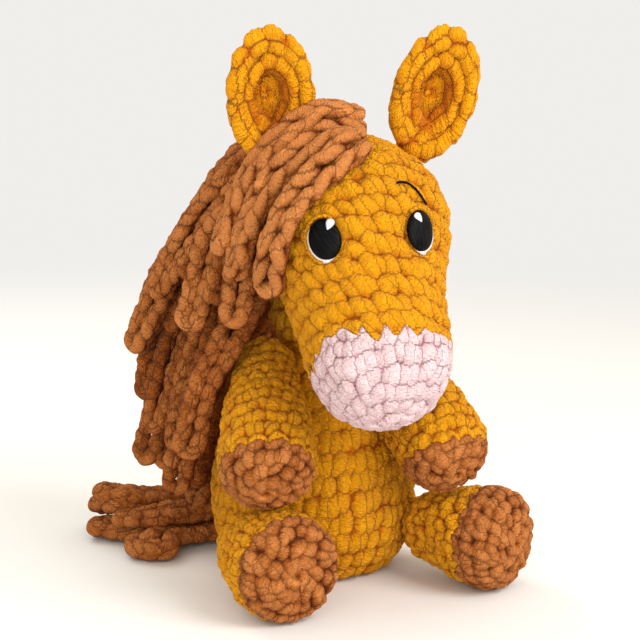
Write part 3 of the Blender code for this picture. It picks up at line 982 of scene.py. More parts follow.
    def past_change(self, turn: np.ndarray, down: np.ndarray, upward: np.ndarray) -> np.ndarray:
        """How far each point lies past the toothed change of yarn.

        Args:
            turn: Share of a turn round the form.
            down: Distance along the outline.
            upward: How far each point faces up.

        Returns:
            The distances, which are negative before the change.
        """
        angle = math.tau * turn
        ring = np.column_stack([np.cos(angle), np.sin(angle), 0.0 * turn])
        astray = self.TEETH_ASTRAY * lattice_noise(ring, 0.24, self.seed)
        wave = 1.0 - 2.0 * np.abs(np.sin(math.pi * (turn * self.teeth + astray))) ** self.TEETH_POINT
        tooth = self.tooth * (1.0 + self.TEETH_UNEVEN * lattice_noise(ring, 0.31, self.seed + 9))
        past = down - self.change - self.tilt * upward
        for puff in self.puffs:
            ease = eased(np.clip(1.6 - 1.6 * np.abs(turn - puff.turn) / puff.half, 0.0, 1.0))
            past = past + puff.sooner * ease
            tooth = tooth * (1.0 - 0.75 * ease)
        return past + tooth * wave

    def pressed(self, world: np.ndarray, raised: np.ndarray) -> np.ndarray:
        """Presses the relief flat at the dents and lifts it at the puffs.

        Args:
            world: Each point's place on the smooth form.
            raised: Its height over that form.

        Returns:
            The new heights.
        """
        for dent in self.dents:
            share = np.linalg.norm(world - np.array(dent.place), axis=1) / dent.reach
            ease = eased(np.clip((share - dent.flat) / dent.edge, 0.0, 1.0))
            raised = np.where(raised > dent.level, dent.level + (raised - dent.level) * ease, raised)
        for puff in self.puffs:
            share = np.linalg.norm(world - np.array(puff.place), axis=1) / puff.reach
            raised = raised + puff.rise * eased(np.clip(1.0 - share, 0.0, 1.0))
        return raised

    def split(self, whole: bpy.types.Object, first: str, second: str) -> list[bpy.types.Object]:
        """Splits the form where its yarn changes.

        Args:
            whole: The built form, which is removed.
            first: Name of the part before the change.
            second: Name of the part after it.

        Returns:
            Both parts.
        """
        parts = [keep_part(whole, name, self.late, name == second) for name in (first, second)]
        bpy.data.objects.remove(whole, do_unlink=True)
        return parts


def dress(
    piece: bpy.types.Object, finish: Finish, slot: str, body: str, *nodes: str
) -> bpy.types.Object:
    """Gives a piece its finish and its place in the model.

    Args:
        piece: The piece.
        finish: Its finish.
        slot: Not used.
        body: The body that it rides on.
        nodes: The model's nodes that it stands for.

    Returns:
        The piece.
    """
    piece.data.materials.clear()
    piece.data.materials.append(finish.build())
    if nodes:
        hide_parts(*nodes)
    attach(piece, body)
    LOG.info("%s: %d faces, on %s", piece.name, len(piece.data.polygons), body)
    return piece


# Torso and neck


@dataclass
class Torso:
    """The pear-shaped torso and the ball that its head turns on."""

    height: float = 148.0 * MM
    radius: float = 62.0 * MM
    base_radius: float = 40.0 * MM
    neck_centre: Vector = field(default_factory=lambda: Vector((0.0, -8.0 * MM, 158.0 * MM)))
    neck_radius: float = 29.0 * MM
    neck_relief: float = 3.4 * MM
    seam: Vector = field(default_factory=lambda: Vector((0.47, 0.88, 0.0)))
    shares: Points = (
        (0.02, 0.745), (0.055, 0.84), (0.12, 0.94), (0.21, 0.99), (0.29, 1.0), (0.38, 0.985), (0.48, 0.925),
        (0.59, 0.825), (0.70, 0.70), (0.80, 0.565), (0.88, 0.435), (0.94, 0.31), (0.98, 0.18), (1.0, 0.0),
    )

    def build(self) -> None:
        """Builds the torso and the neck."""
        up = Vector((0.0, 0.0, 1.0))
        outline = ((0.0, 0.0), (0.0, self.base_radius)) + scaled(self.shares, self.height, self.radius)
        place = axis_frame(Vector(), up, self.seam)
        form = StuffedForm("torso_stitches", Outline(outline), place, TALL, seed=11)
        torso = dress(form.build(), MUSTARD, "mustard_yarn", "torso", "torso_cover", "torso_filling")
        arc = Outline(ball_arc(self.neck_radius, 17))
        place = axis_frame(self.neck_centre, up, self.seam)
        form = StuffedForm("neck_stitches", arc, place, Stitches(relief=self.neck_relief), seed=12)
        neck = dress(form.build(), MUSTARD, "mustard_yarn", "neck", "neck_cover", "neck_filling")


# Head


@dataclass
class Head:
    """The head with its muzzle, eyes, brows and ears."""

    turn: float = math.radians(12.5)
    lean: float = math.radians(38.0)
    length: float = 173.0 * MM
    radius: float = 53.0 * MM
    aside: float = 6.0 * MM
    crown_forward: float = 31.0 * MM
    crown_height: float = 254.0 * MM
    muzzle_length: float = 36.0 * MM
    face_roll: float = math.radians(-5.7)
    shares: Points = (
        (0.0, 0.0), (0.012, 0.25), (0.05, 0.51), (0.11, 0.74), (0.18, 0.90), (0.26, 0.98), (0.34, 1.0),
        (0.43, 0.94), (0.52, 0.845), (0.61, 0.775), (0.70, 0.745), (0.78, 0.735), (0.85, 0.69), (0.92, 0.57),
        (0.97, 0.37), (0.992, 0.19), (1.0, 0.0),
    )
    eye_lift: float = 0.6 * MM
    eye_along: float = 81.5 * MM
    eye_spread: float = math.radians(32.5)
    eye_width: float = 18.5 * MM
    eye_height: float = 22.5 * MM
    brow_along: float = 62.0 * MM
    brow_spread: float = math.radians(26.5)
    nostril_along: float = 149.0 * MM
    nostril_spread: float = math.radians(45.5)
    ear_along: float = 18.0 * MM
    ear_spread: float = math.radians(74.0)
    eye_dent: float = 13.0 * MM
    nostril_reach: float = 19.0 * MM
    nostril_rise: float = 4.6 * MM
    nostril_half: float = 0.075
    nostril_sooner: float = 3.6 * MM
    nostril_uneven: float = 3.0 * MM

    @property
    def forward(self) -> Vector:
        """The level direction that the face looks in."""
        return Vector((-math.sin(self.turn), -math.cos(self.turn), 0.0))

    @property
    def left(self) -> Vector:
        """The head's own left."""
        return Vector((math.cos(self.turn), -math.sin(self.turn), 0.0))

    @property
    def frame(self) -> Matrix:
        """Local +Z from the crown to the nose, +X to the left, and +Y out of the face."""
        along = self.forward * math.sin(self.lean) - Vector((0.0, 0.0, math.cos(self.lean)))
        face = along.cross(self.left)
        crown = self.forward * self.crown_forward + self.left * self.aside
        crown += Vector((0.0, 0.0, self.crown_height))
        return Matrix.Translation(crown) @ axes(self.left, face, along)

    def radius_at(self, along: float) -> float:
        """The head's radius at a place along its axis."""
        table = np.array(scaled(self.shares, self.length, self.radius))
        return float(np.interp(along, table[:, 0], table[:, 1]))

    def on_face(self, along: float, spread: float, side: Side) -> Matrix:
        """A frame on the head's surface.

        Args:
            along: Distance from the crown along the head's axis.
            spread: Angle from the middle of the face.
            side: Which side of it.

        Returns:
            A matrix with local +Z out of the surface, +X to the left and +Y to the crown.
        """
        step = self.length / 100.0
        slope = (self.radius_at(along + step) - self.radius_at(along - step)) / (2.0 * step)
        angle = self.face_roll + side.value * spread
        flat = Vector((math.sin(angle), math.cos(angle), 0.0))
        place = flat * self.radius_at(along) + Vector((0.0, 0.0, along))
        normal = (flat - Vector((0.0, 0.0, slope))).normalized()
        across = Vector((math.cos(angle), -math.sin(angle), 0.0))
        upward = normal.cross(across)
        return self.frame @ Matrix.Translation(place) @ axes(across, upward, normal)

    def nostril(self, side: Side) -> Puff:
        """The puffed corner of the muzzle on one side."""
        place = self.on_face(self.nostril_along, self.nostril_spread, side).translation
        turn = 0.5 - (self.face_roll + side.value * self.nostril_spread) / math.tau
        sooner = self.nostril_sooner - side.value * self.nostril_uneven
        return Puff(place, self.nostril_reach, self.nostril_rise, turn, self.nostril_half, sooner)

    def build(self) -> None:
        """Builds the head and all that is sewn to it."""
        eyes = (self.on_face(self.eye_along, self.eye_spread, side).translation for side in Side)
        turned = self.frame @ Matrix.Rotation(math.radians(90.0), 4, "Z")
        outline = Outline(scaled(self.shares, self.length, self.radius))
        form = StuffedForm(
            "head_form", outline, turned, Stitches(hand=-1.0, spiral=-1.0), seed=21,
            dents=tuple(Dent(eye, self.eye_dent) for eye in eyes),
            puffs=tuple(self.nostril(side) for side in Side),
            change=outline.distance_at(self.length - self.muzzle_length), later=NOSE, teeth=21,
        )
        head, muzzle = form.split(form.build(), "head_stitches", "muzzle_stitches")
        dress(head, MUSTARD, "mustard_yarn", "head", "head_cover", "head_filling")
        dress(muzzle, PALE_PINK, "pale_pink_yarn", "head", "muzzle_cover")
        for side in Side:
            Eye(self, side).build()
            Ear(self, side).build()


@dataclass(frozen=True)
class Pad:
    """A closed oval pad of satin stitch that follows a round face.

    Attributes:
        name: The piece's name.
        width: Its width.
        height: Its height.
        crown: Its thickness in the middle.
        place: Its middle.
        lift: Height of its back over the face.
        lean: Turn of the oval.
        taper: How much wider its upper end is.
    """

    name: str
    width: float
    height: float
    crown: float
    place: tuple[float, float]
    lift: float
    lean: float = 0.0
    taper: float = 0.0

    def build(self, bend: float) -> bpy.types.Object:
        """Builds the pad in the face's own frame.

        Args:
            bend: The radius of the face, across.

        Returns:
            The pad.
        """
        pad, turn, share = bare_ball(self.name, 48, 32)
        angle = (turn - 0.5) * math.tau
        upper = share > 0.5
        ring = np.where(upper, 2.0 - 2.0 * share, 2.0 * share)
        aside = self.width / 2.0 * ring * np.cos(angle) * (1.0 + self.taper * ring * np.sin(angle))
        tall = self.height / 2.0 * ring * np.sin(angle)
        across = self.place[0] + aside * math.cos(self.lean) - tall * math.sin(self.lean)
        upward = self.place[1] + aside * math.sin(self.lean) + tall * math.cos(self.lean)
        top = self.crown * np.sqrt(np.clip(1.0 - ring ** 3, 0.0, 1.0))
        sink = bend - np.sqrt(np.maximum(bend ** 2 - across ** 2, 0.0))
        out = self.lift + np.where(upper, top, 0.0) - sink
        write_places(pad, np.column_stack([across, upward, out]))
        places = np.column_stack([(across + 0.45 * upward) / self.width, upward / self.height])
        corner = np.empty(len(pad.data.loops), dtype=int)
        pad.data.loops.foreach_get("vertex_index", corner)
        pad.data.uv_layers.active.data.foreach_set("uv", places[corner].astype(np.float32).ravel())
        pad.data.update()
        pad.data.shade_smooth()
        return pad


def over_face(across: float, upward: float, lift: float, bend: float) -> Vector:
    """A point over a face that falls away to both sides.

    Args:
        across: How far to the left it lies.
        upward: How far up it lies.
        lift: Its height over the face.
        bend: The radius of the face, across.

    Returns:
        The point, in the face's own frame.
    """
    return Vector((across, upward, lift - bend + math.sqrt(bend ** 2 - across ** 2)))


def thread_line(name: str, points: list[Vector], radius: float, twist: float) -> bpy.types.Object:
    """A short run of thread or cord along points.

    Args:
        name: The piece's name.
        points: Its route.
        radius: Its radius.
        twist: Length of one turn of its plies.

    Returns:
        The piece.
    """
    route = np.array([tuple(point) for point in points])
    return Cord(name, route, radius, pitch=twist, relief=radius * 0.25, fineness=radius / 2.5).build()


@dataclass
class Eye:
    """One embroidered eye with its brow.

    Attributes:
        head: The head that it is on.
        side: Which side of it.
        white_shift: How far the white shows outside and under the pupil.
        crowns: Thickness of the white, the pupil and the glint.
        lifts: How far each lies over the face, past the eye's own lift.
        glint_size: The glint's width and height.
        glint_shift: How far in and up the glint lies from the pupil's middle.
        glint_uneven: How much further in the right eye's glint lies than the left's, halved.
        glint_form: The glint's lean and its taper.
        lid_spread: The lid's width and height, as shares of the eye's.
        lid_radius: Radius of its cord.
        brow_reach: Half the brow's width.
        brow_arch: How far its middle stands over its ends.
        brow_slope: Its fall to the outside.
        brow_tuck: How far the right brow lies in and up, under the forelock.
        brow_radius: Radius of its thread.
    """

    head: Head
    side: Side
    white_shift: tuple[float, float] = (2.3 * MM, 1.2 * MM)
    crowns: tuple[float, float, float] = (1.6 * MM, 3.0 * MM, 1.3 * MM)
    lifts: tuple[float, float, float] = (0.0, 0.5 * MM, 2.2 * MM)
    glint_size: tuple[float, float] = (3.9 * MM, 7.4 * MM)
    glint_shift: tuple[float, float] = (4.2 * MM, 5.9 * MM)
    glint_uneven: float = 1.2 * MM
    glint_form: tuple[float, float] = (0.62, 0.75)
    lid_spread: tuple[float, float] = (0.58, 0.57)
    lid_radius: float = 1.1 * MM
    brow_reach: float = 9.2 * MM
    brow_arch: float = 4.0 * MM
    brow_slope: float = 0.5
    brow_tuck: tuple[float, float] = (2.6 * MM, 2.0 * MM)
    brow_radius: float = 0.62 * MM

    def build(self) -> None:
        """Builds the white, the pupil over it, the glint, the lid and the brow."""
        head, side = self.head, self.side
        bend = head.radius_at(head.eye_along)
        frame = head.on_face(head.eye_along, head.eye_spread, side)
        size = (head.eye_width, head.eye_height)
        aside, drop = self.white_shift
        inward, rise = self.glint_shift
        glint_place = (-side.value * (inward - side.value * self.glint_uneven), rise)
        pads = (
            ("eye_white", WHITE, "white_thread", size, (side.value * aside, -drop), 0.0, 0.0),
            ("pupil", BLACK, "black_thread", size, (0.0, 0.0), 0.0, 0.0),
            ("eye_glint", WHITE, "white_thread", self.glint_size, glint_place, *self.glint_form),
        )
        for pad, crown, lift in zip(pads, self.crowns, self.lifts):
            name, finish, slot, (width, height), place, lean, taper = pad
            lifted = head.eye_lift + lift
            piece = Pad(
                f"{name}_stitches_{side.word}", width, height, crown, place, lifted, side.value * lean, taper
            ).build(bend)
            dress(settle(piece, frame), finish, slot, "head", f"{name}_{side.word}")
        wide, tall = self.lid_spread
        lid = []
        for step in range(21):
            angle = math.radians(90.0 - side.value * (190.0 * step / 20 - 40.0))
            across, upward = size[0] * wide * math.cos(angle), size[1] * tall * math.sin(angle)
            lid.append(frame @ over_face(across, upward, 1.2 * MM, bend))
        cord = thread_line("eyelid_cord_" + side.word, lid, self.lid_radius, 3.0 * MM)
        dress(cord, MUSTARD, "mustard_yarn", "head")
        self.build_brow()

    def build_brow(self) -> None:
        """Builds the thread arc over the eye."""
        head, side = self.head, self.side
        bend = head.radius_at(head.brow_along)
        frame = head.on_face(head.brow_along, head.brow_spread, side)
        inward, rise = self.brow_tuck if side is Side.RIGHT else (0.0, 0.0)
        points = []
        for step in range(15):
            share = step / 14 * 2.0 - 1.0
            across = share * self.brow_reach
            upward = self.brow_arch * (1.0 - share ** 2) - side.value * across * self.brow_slope
            points.append(frame @ over_face(across - inward, upward + rise, 2.2 * MM, bend))
        brow = thread_line("brow_thread_" + side.word, points, self.brow_radius, 2.4 * MM)
        dress(brow, BLACK, "black_thread", "head", "brow_" + side.word)


def roll_arc(
    centre: tuple[float, float], radius: float, start: float, sweep: float, steps: int
) -> list[tuple[float, float]]:
    """Points of a rolled edge's outline.

    Args:
        centre: Its middle, as (along, radius).
        radius: The roll's own radius.
        start: Where the arc starts, in half turns.
        sweep: How far it goes, in half turns.
        steps: How many steps it takes.

    Returns:
        The points.
    """
    angles = (math.pi * (start + sweep * step / steps) for step in range(steps + 1))
    return [(centre[0] + radius * math.sin(angle), centre[1] + radius * math.cos(angle)) for angle in angles]


@dataclass
class Ear:
    """One cupped ear with a thick rolled rim."""

    head: Head
    side: Side
    height: float = 77.0 * MM
    width: float = 49.0 * MM
    depth: float = 15.0 * MM
    wall: float = 8.0 * MM
    rise: float = 3.0 * MM
    root_radius: float = 9.0 * MM
    root_sink: float = 4.0 * MM
    tilt: float = math.radians(8.0)
    lean: float = math.radians(18.0)
    foot_widening: float = 0.06
    inner_roll: float = 3.3 * MM
    inner_in: float = 7.3 * MM
    inner_back: float = 1.8 * MM

    # Where the painted shade of the hollow ends and how softly, as shares of half the width, then how deep it
    # starts, as a share of the depth, over what height it comes in, and how dark it is painted
    HOLLOW_EDGE, HOLLOW_FADE, HOLLOW_DEPTH, HOLLOW_RISE, HOLLOW_SHADE = 0.62, 0.15, 0.8, 3.0 * MM, 0.55

    @property
    def root(self) -> Vector:
        """The middle of the ear's root."""
        head = self.head
        radius = head.radius_at(head.ear_along) + self.root_radius - self.root_sink
        angle = self.side.value * head.ear_spread
        return head.frame @ Vector((radius * math.sin(angle), radius * math.cos(angle), head.ear_along))

    @property
    def frame(self) -> Matrix:
        """Local +Y up the ear and +Z out of its cup."""
        forward, left = self.head.forward, self.head.left
        upright = Vector((0.0, 0.0, math.cos(self.lean))) + forward * math.sin(self.lean)
        upward = (upright * math.cos(self.tilt) + left * self.side.value * math.sin(self.tilt)).normalized()
        out = (forward - upward * forward.dot(upward)).normalized()
        return Matrix.Translation(self.root) @ axes(upward.cross(out), upward, out)

    @property
    def outline(self) -> Outline:
        """The cup's outline, from its back over the rolled rim to the middle of its hollow."""
        depth, wall = self.depth, self.wall
        rim = self.width / 2.0 - wall / 2.0
        back = [(-depth, 0.0), (-depth, rim * 0.4), (-depth * 0.72, rim * 0.78)]
        rolled = roll_arc((0.0, rim), wall / 2.0, -0.5, 1.3, 8)
        inner = roll_arc((-self.inner_back, rim - self.inner_in), self.inner_roll, 0.15, 0.75, 6)
        hollow = [(-depth * 0.5, rim * 0.42), (-depth + wall * 1.02, rim * 0.2), (-depth + wall, 0.0)]
        return Outline(tuple(back + rolled + inner + hollow))

    def build(self) -> None:
        """Builds the ear."""
        knit = Stitches(
            width=10.5 * MM, row=7.6 * MM, relief=2.3 * MM, sink=1.2 * MM,
            lobes=(Lobe(0.0, 0.0, 1.34, 0.92, 14.0),), hand=self.side.value, lean=0.4,
        )
        form = StuffedForm(
            "ear_stitches_" + self.side.word, self.outline, Matrix.Identity(4), knit,
            fineness=0.9 * MM, floor=-1.0, seed=31,
        )
        ear = form.build()
        self.darken(ear)
        places = read_places(ear)
        upward = places[:, 1] * self.height / self.width
        low = np.clip(-upward / (self.height / 2.0), 0.0, 1.0)
        wide = 1.0 + self.foot_widening * low ** 2
        upward = upward + self.height / 2.0 + self.rise
        write_places(ear, np.column_stack([places[:, 0] * wide, upward, places[:, 2] * wide]))
        settle(ear, self.frame)
        body = "ear_" + self.side.word
        dress(ear, MUSTARD, "mustard_yarn", body, body)

    def darken(self, ear: bpy.types.Object) -> None:
        """Paints shade into the cup's hollow, through the relief that its colour reads; its shape stays as it
        is.

        Args:
            ear: The ear, still lying flat round its own axis.
        """
        places = read_places(ear)
        puff = ear.data.attributes["puff"].data
        height = np.empty(len(puff))
        puff.foreach_get("value", height)
        share = np.linalg.norm(places[:, :2], axis=1) / (self.width / 2.0)
        hollow = np.clip((self.HOLLOW_EDGE - share) / self.HOLLOW_FADE, 0.0, 1.0)
        hollow *= np.clip((places[:, 2] + self.depth * self.HOLLOW_DEPTH) / self.HOLLOW_RISE, 0.0, 1.0)
        puff.foreach_set("value", (height * (1.0 - self.HOLLOW_SHADE * hollow)).astype(np.float32))


# Limbs


@dataclass
class Limb:
    """An arm or a leg: a mustard sleeve and a brown hoof, crocheted as one.

    Attributes:
        name: The limb's name, and its body's.
        pivot: The middle of its root ball.
        aim: The way it points.
        seed: Picks its unevenness.
        hoof: Length of the hoof.
        length: From the root ball's middle to the hoof's end.
        radius: Its greatest radius.
        root: Radius of the root ball.
        tip: Length of the rounded end.
        tip_shares: The rounded end's outline.
        tilt: How much longer the hoof is on the upper side.
        swell: How it thickens from the root.
    """

    name: str
    pivot: Vector
    aim: Vector
    seed: int
    hoof: float
    length: float
    radius: float
    root: float
    tip: float
    tip_shares: Points
    tilt: float = 0.0
    swell: Points = ((0.0, 0.0), (0.2, 0.27), (0.42, 0.58), (0.66, 0.85), (1.0, 1.0))

    def outline(self) -> Outline:
        """The limb's outline from the hoof's tip back to its root ball."""
        body = self.length - self.tip
        sleeve = [(share * body, self.root + (self.radius - self.root) * rise) for share, rise in self.swell]
        end = [(body + share * self.tip, self.radius * width) for share, width in self.tip_shares[1:]]
        points = [*ball_arc(self.root, 8), *sleeve, *end]
        return Outline(tuple((self.length - along, radius) for along, radius in reversed(points)))

    def build(self) -> None:
        """Builds the sleeve and the hoof."""
        tip = self.pivot + self.aim.normalized() * self.length
        place = axis_frame(tip, -self.aim, Vector((0.1, 0.3, -1.0)))
        outline = self.outline()
        form = StuffedForm(
            self.name + "_form", outline, place, HOOF, seed=self.seed, change=outline.distance_at(self.hoof),
            later=BOBBLES, teeth=14, tooth=1.6 * MM, tilt=self.tilt,
        )
        hoof, sleeve = form.split(form.build(), self.name + "_hoof_stitches", self.name + "_sleeve_stitches")
        dress(sleeve, MUSTARD, "mustard_yarn", self.name, self.name + "_sleeve", self.name + "_filling")
        dress(hoof, BROWN, "brown_yarn", self.name, self.name + "_hoof")


# The rounded end of an arm and of a leg, as (share of its length, share of the limb's radius)
ARM_TIP: Points = (
    (0.0, 1.0), (0.30, 0.985), (0.55, 0.91), (0.76, 0.76), (0.91, 0.53), (0.98, 0.28), (1.0, 0.0),
)
SOLE_TIP: Points = ((0.0, 1.0), (0.35, 0.985), (0.65, 0.90), (0.85, 0.74), (0.96, 0.48), (1.0, 0.0))


def make_limbs() -> list[Limb]:
    """The four limbs."""
    arm = dict(length=97.0 * MM, radius=26.5 * MM, root=17.0 * MM, tip=26.0 * MM, tip_shares=ARM_TIP)
    leg = dict(length=53.0 * MM, radius=30.0 * MM, root=22.0 * MM, tip=20.0 * MM, tip_shares=SOLE_TIP)
    rows = (
        ("arm_right", (-40.0, -16.0, 128.0), (-0.35, -0.735, -0.55), 41, 19.5, -3.0, arm),
        ("arm_left", (43.0, -18.0, 126.0), (-0.02, -0.84, -0.55), 42, 16.5, -11.0, arm),
        ("leg_right", (-63.0, -51.0, 30.3), (0.0, -1.0, 0.0), 43, 14.5, 0.0, leg),
        ("leg_left", (53.0, -62.0, 30.3), (0.42, -0.907, 0.0), 44, 25.0, 0.0, leg),
    )
    limbs = []
    for name, pivot, aim, seed, hoof, tilt, sizes in rows:
        middle = Vector([place * MM for place in pivot])
        limbs.append(Limb(name, middle, Vector(aim), seed, hoof * MM, tilt=tilt * MM, **sizes))
    return limbs


# Cords


def smooth_route(route: np.ndarray, step: float) -> np.ndarray:
    """Points along a smooth curve through a route, evenly spaced.

    Args:
        route: The route's points.
        step: The distance between points.

    Returns:
        The curve's points.
    """
    padded = np.vstack([2.0 * route[0] - route[1], route, 2.0 * route[-1] - route[-2]])
    curve = []
    for index in range(1, len(padded) - 2):
        before, start, end, after = padded[index - 1:index + 3]
        for t in np.linspace(0.0, 1.0, 24, endpoint=False):
            curve.append(0.5 * (
                2.0 * start + (end - before) * t + (2.0 * before - 5.0 * start + 4.0 * end - after) * t ** 2
                + (3.0 * start - before - 3.0 * end + after) * t ** 3
            ))
    return evenly(np.array(curve + [route[-1]]), step)


def evenly(curve: np.ndarray, step: float) -> np.ndarray:
    """The curve's points spaced a step apart."""
    far = distances(curve)
    return rows_at(np.linspace(0.0, far[-1], max(int(far[-1] / step), 4)), far, curve)


@dataclass
class Cord:
    """A crocheted chain along a route.

    Attributes:
        name: The piece's name.
        route: Its middle line, evenly spaced.
        radius: Its radius under the plies.
        outward: The direction that its front faces.
        pitch: Length of one stitch of the chain.
        relief: Height of its legs.
        slant: Lean of its front legs.
        shade: Painted light and shade: how far its colour is the crest's. Its sides and back are painted
            darker still.
        fineness: Size of one face.
        seed: Picks its unevenness.
    """

    name: str
    route: np.ndarray
    radius: float
    outward: np.ndarray | None = None
    pitch: float = 9.5 * MM
    relief: float = 3.0 * MM
    slant: float = 38.0
    shade: float = 1.0
    fineness: float = 1.05 * MM
    seed: int = 5

    CHANCES = 1024
    FRONT = (-0.3, -0.9, 0.3)
    # The middle height of the chain's legs, also the middle of the painted shade round the cord, and how much
    # lighter its front is painted than its sides, with its back painted darker still
    MIDDLE = 0.66
    FRONT_LIGHT = 0.40
    FLOOR = 0.3 * MM

    def frames(self) -> tuple[np.ndarray, np.ndarray, np.ndarray, np.ndarray]:
        """The cord's middle line and, at each point, its direction, front and side."""
        ahead = unit_rows(np.gradient(self.route, axis=0))
        outward = self.outward if self.outward is not None else np.tile([self.FRONT], (len(self.route), 1))
        front = square_to(outward, ahead)
        return self.route, ahead, front, np.cross(ahead, front)

    def build(self) -> bpy.types.Object:
        """Builds the cord and returns it."""
        far = distances(self.route)
        length = far[-1] + 2.0 * self.radius
        segments = max(int(math.tau * self.radius / self.fineness), 10)
        cord, turn, share = bare_ball(self.name, segments, max(int(length / self.fineness), 8))
        along = share * length - self.radius
        inside = np.clip(along, 0.0, far[-1])
        over = (along - inside) / self.radius
        width = self.radius * np.sqrt(np.clip(1.0 - over ** 2, 0.0, 1.0))
        spot, way, face, flank = (rows_at(inside, far, rows) for rows in self.frames())
        relief = self.plies(turn, along + self.radius)
        coarse = min(self.radius / (4.0 * MM), 1.0) ** 2
        ribs = CORD_RIBS.over(relief.pile * RIB_STRETCH, self.seed) * relief.inside
        fibres = CORD_FIBRES.over(np.column_stack([along, turn * 26.0 * MM, turn * 0.0]), self.seed)
        swell = CORD_SWELL.along(along, self.seed)
        raised = (relief.height - self.MIDDLE) * self.relief + (ribs + fibres + swell) * coarse
        # Painted shade round the cord: front lighter, sides and back darker, all scaled by its painted light
        # and shade
        light = self.MIDDLE - self.FRONT_LIGHT * np.cos(math.tau * turn)
        relief.height = relief.height * self.shade * light
        angle = (turn - 0.5) * math.tau
        out = face * np.cos(angle)[:, None] + flank * np.sin(angle)[:, None]
        reach = np.maximum(width + raised * width / self.radius, 0.0)
        onward = over * self.radius * (1.0 + raised / self.radius)
        places = spot + out * reach[:, None] + way * onward[:, None]
        places[:, 2] = np.maximum(places[:, 2], self.FLOOR)
        set_shape(cord, places, relief)
        return cord

    def plies(self, turn: np.ndarray, along: np.ndarray) -> Relief:
        """The relief of the chain's legs: two that lean together on the front, and one row behind.

        Args:
            turn: Share of a turn round the cord, with its front at a half.
            along: Distance along the cord.

        Returns:
            The relief.
        """
        table = np.random.default_rng(self.seed).uniform(-1.0, 1.0, (self.CHANCES, 5))
        union = Union(len(turn), blur=0.12, power=0.6)
        around = math.tau * self.radius
        roll = CORD_ROLL.along(along, self.seed)
        # Each row of legs: its middle as a share of a turn, its shift as a share of a stitch, and its lean
        rows = ((0.37, 0.0, self.slant), (0.63, 0.2, -self.slant), (0.0, 0.55, 6.0))
        for index, (middle, shift, slant) in enumerate(rows):
            column = along / self.pitch + shift
            for beside in (-1, 0, 1):
                place = np.floor(column) + beside
                chance = table[(place.astype(int) * 7 + index * 311) % self.CHANCES]
                down = (column - place - 0.5 - 0.14 * chance[:, 0]) * self.pitch
                across = (np.mod(turn + roll - middle + 0.5, 1.0) - 0.5 - 0.025 * chance[:, 1]) * around
                angle = math.radians(slant) + 0.22 * chance[:, 2]
                run = down * np.cos(angle) + across * np.sin(angle)
                cross = -down * np.sin(angle) + across * np.cos(angle)
                half_run = self.pitch * 0.92 * (1.0 + 0.14 * chance[:, 3])
                half_cross = around * 0.205 * (1.0 + 0.12 * chance[:, 4])
                reach = (run / half_run) ** 2 + (cross / half_cross) ** 2
                union.add(reach, 1.0 + 0.12 * chance[:, 4], run, cross, chance[:, 0])
        return union.relief()


@dataclass(frozen=True)
class Wave:
    """A slow wave along a loop, so that no loop lies quite straight: its height and its length."""

    height: float
    length: float

    def along(self, far: np.ndarray, phase: float) -> np.ndarray:
        """Its height at each distance."""
        return self.height * np.sin(far / self.length + phase)


@dataclass
class Lock:
    """One folded loop of cord: two runs side by side that turn back at the end.

    Attributes:
        name: The piece's name.
        nodes: The model's nodes that it stands for, if any.
        route: Points of its middle line, in millimetres.
        body: The body that it rides on.
        centre: A point that its front faces away from.
        radius: Radius of its cord, under the plies.
        spacing: Distance between its two runs.
        shade: Painted light and shade: how far its colour is the crest's, lighter above one, darker below
            one.
        pitch: Length of one stitch of its chain.
        relief: Height of the chain's legs.
        seed: Picks its unevenness.
        lean: How far its stitches turn from there, towards this direction.
    """

    name: str
    nodes: tuple[str, ...]
    route: Route | np.ndarray
    body: str
    centre: Vector
    radius: float = 4.4 * MM
    spacing: float = 9.8 * MM
    shade: float = 1.0
    pitch: float = 9.5 * MM
    relief: float = 3.0 * MM
    seed: int = 5
    lean: tuple[float, float, float] = (0.0, 0.0, 0.0)

    STEP = 1.5 * MM
    SWAY = Wave(0.8 * MM, 17.0 * MM)
    GAP = Wave(0.5 * MM, 13.0 * MM)
    LIFT = Wave(0.7 * MM, 15.0 * MM)

    def build(self) -> None:
        """Builds the loop."""
        line, facing = self.there_and_back()
        even = evenly(line, self.STEP)
        far = distances(line)
        facing = rows_at(np.linspace(0.0, far[-1], len(even)), far, facing) + np.array(self.lean)
        cord = Cord(
            self.name, even, self.radius, facing, self.pitch, self.relief, shade=self.shade, seed=self.seed
        )
        dress(cord.build(), BROWN, "brown_yarn", self.body, *self.nodes)

    def there_and_back(self) -> tuple[np.ndarray, np.ndarray]:
        """The cord's line out, round the fold and back, and the way its front faces at each point."""
        middle = smooth_route(np.array(self.route, dtype=float) * MM, self.STEP)
        ahead = unit_rows(np.gradient(middle, axis=0))
        outward = square_to(unit_rows(middle - np.array(self.centre)), ahead)
        side = np.cross(ahead, outward)
        chance = np.random.default_rng(self.seed).uniform(0.0, math.tau, 3)
        far = np.arange(len(middle)) * self.STEP
        half = self.spacing / 2.0
        sway = self.SWAY.along(far, chance[0])[:, None]
        gap = half + self.GAP.along(far, chance[1])[:, None]
        lift = self.LIFT.along(far, chance[2])[:, None] * outward
        end = middle[-1] + side[-1] * sway[-1]
        fold = [
            end + side[-1] * gap[-1] * math.cos(angle) + ahead[-1] * half * math.sin(angle)
            for angle in np.linspace(0.0, math.pi, 9)[1:-1]
        ]
        out, back = middle + side * (gap + sway) + lift, middle - side * (gap - sway) - lift
        line = np.vstack([out, np.array(fold), back[::-1]])
        facing = np.vstack([outward, np.tile(outward[-1], (len(fold), 1)), outward[::-1]])
        return line, facing


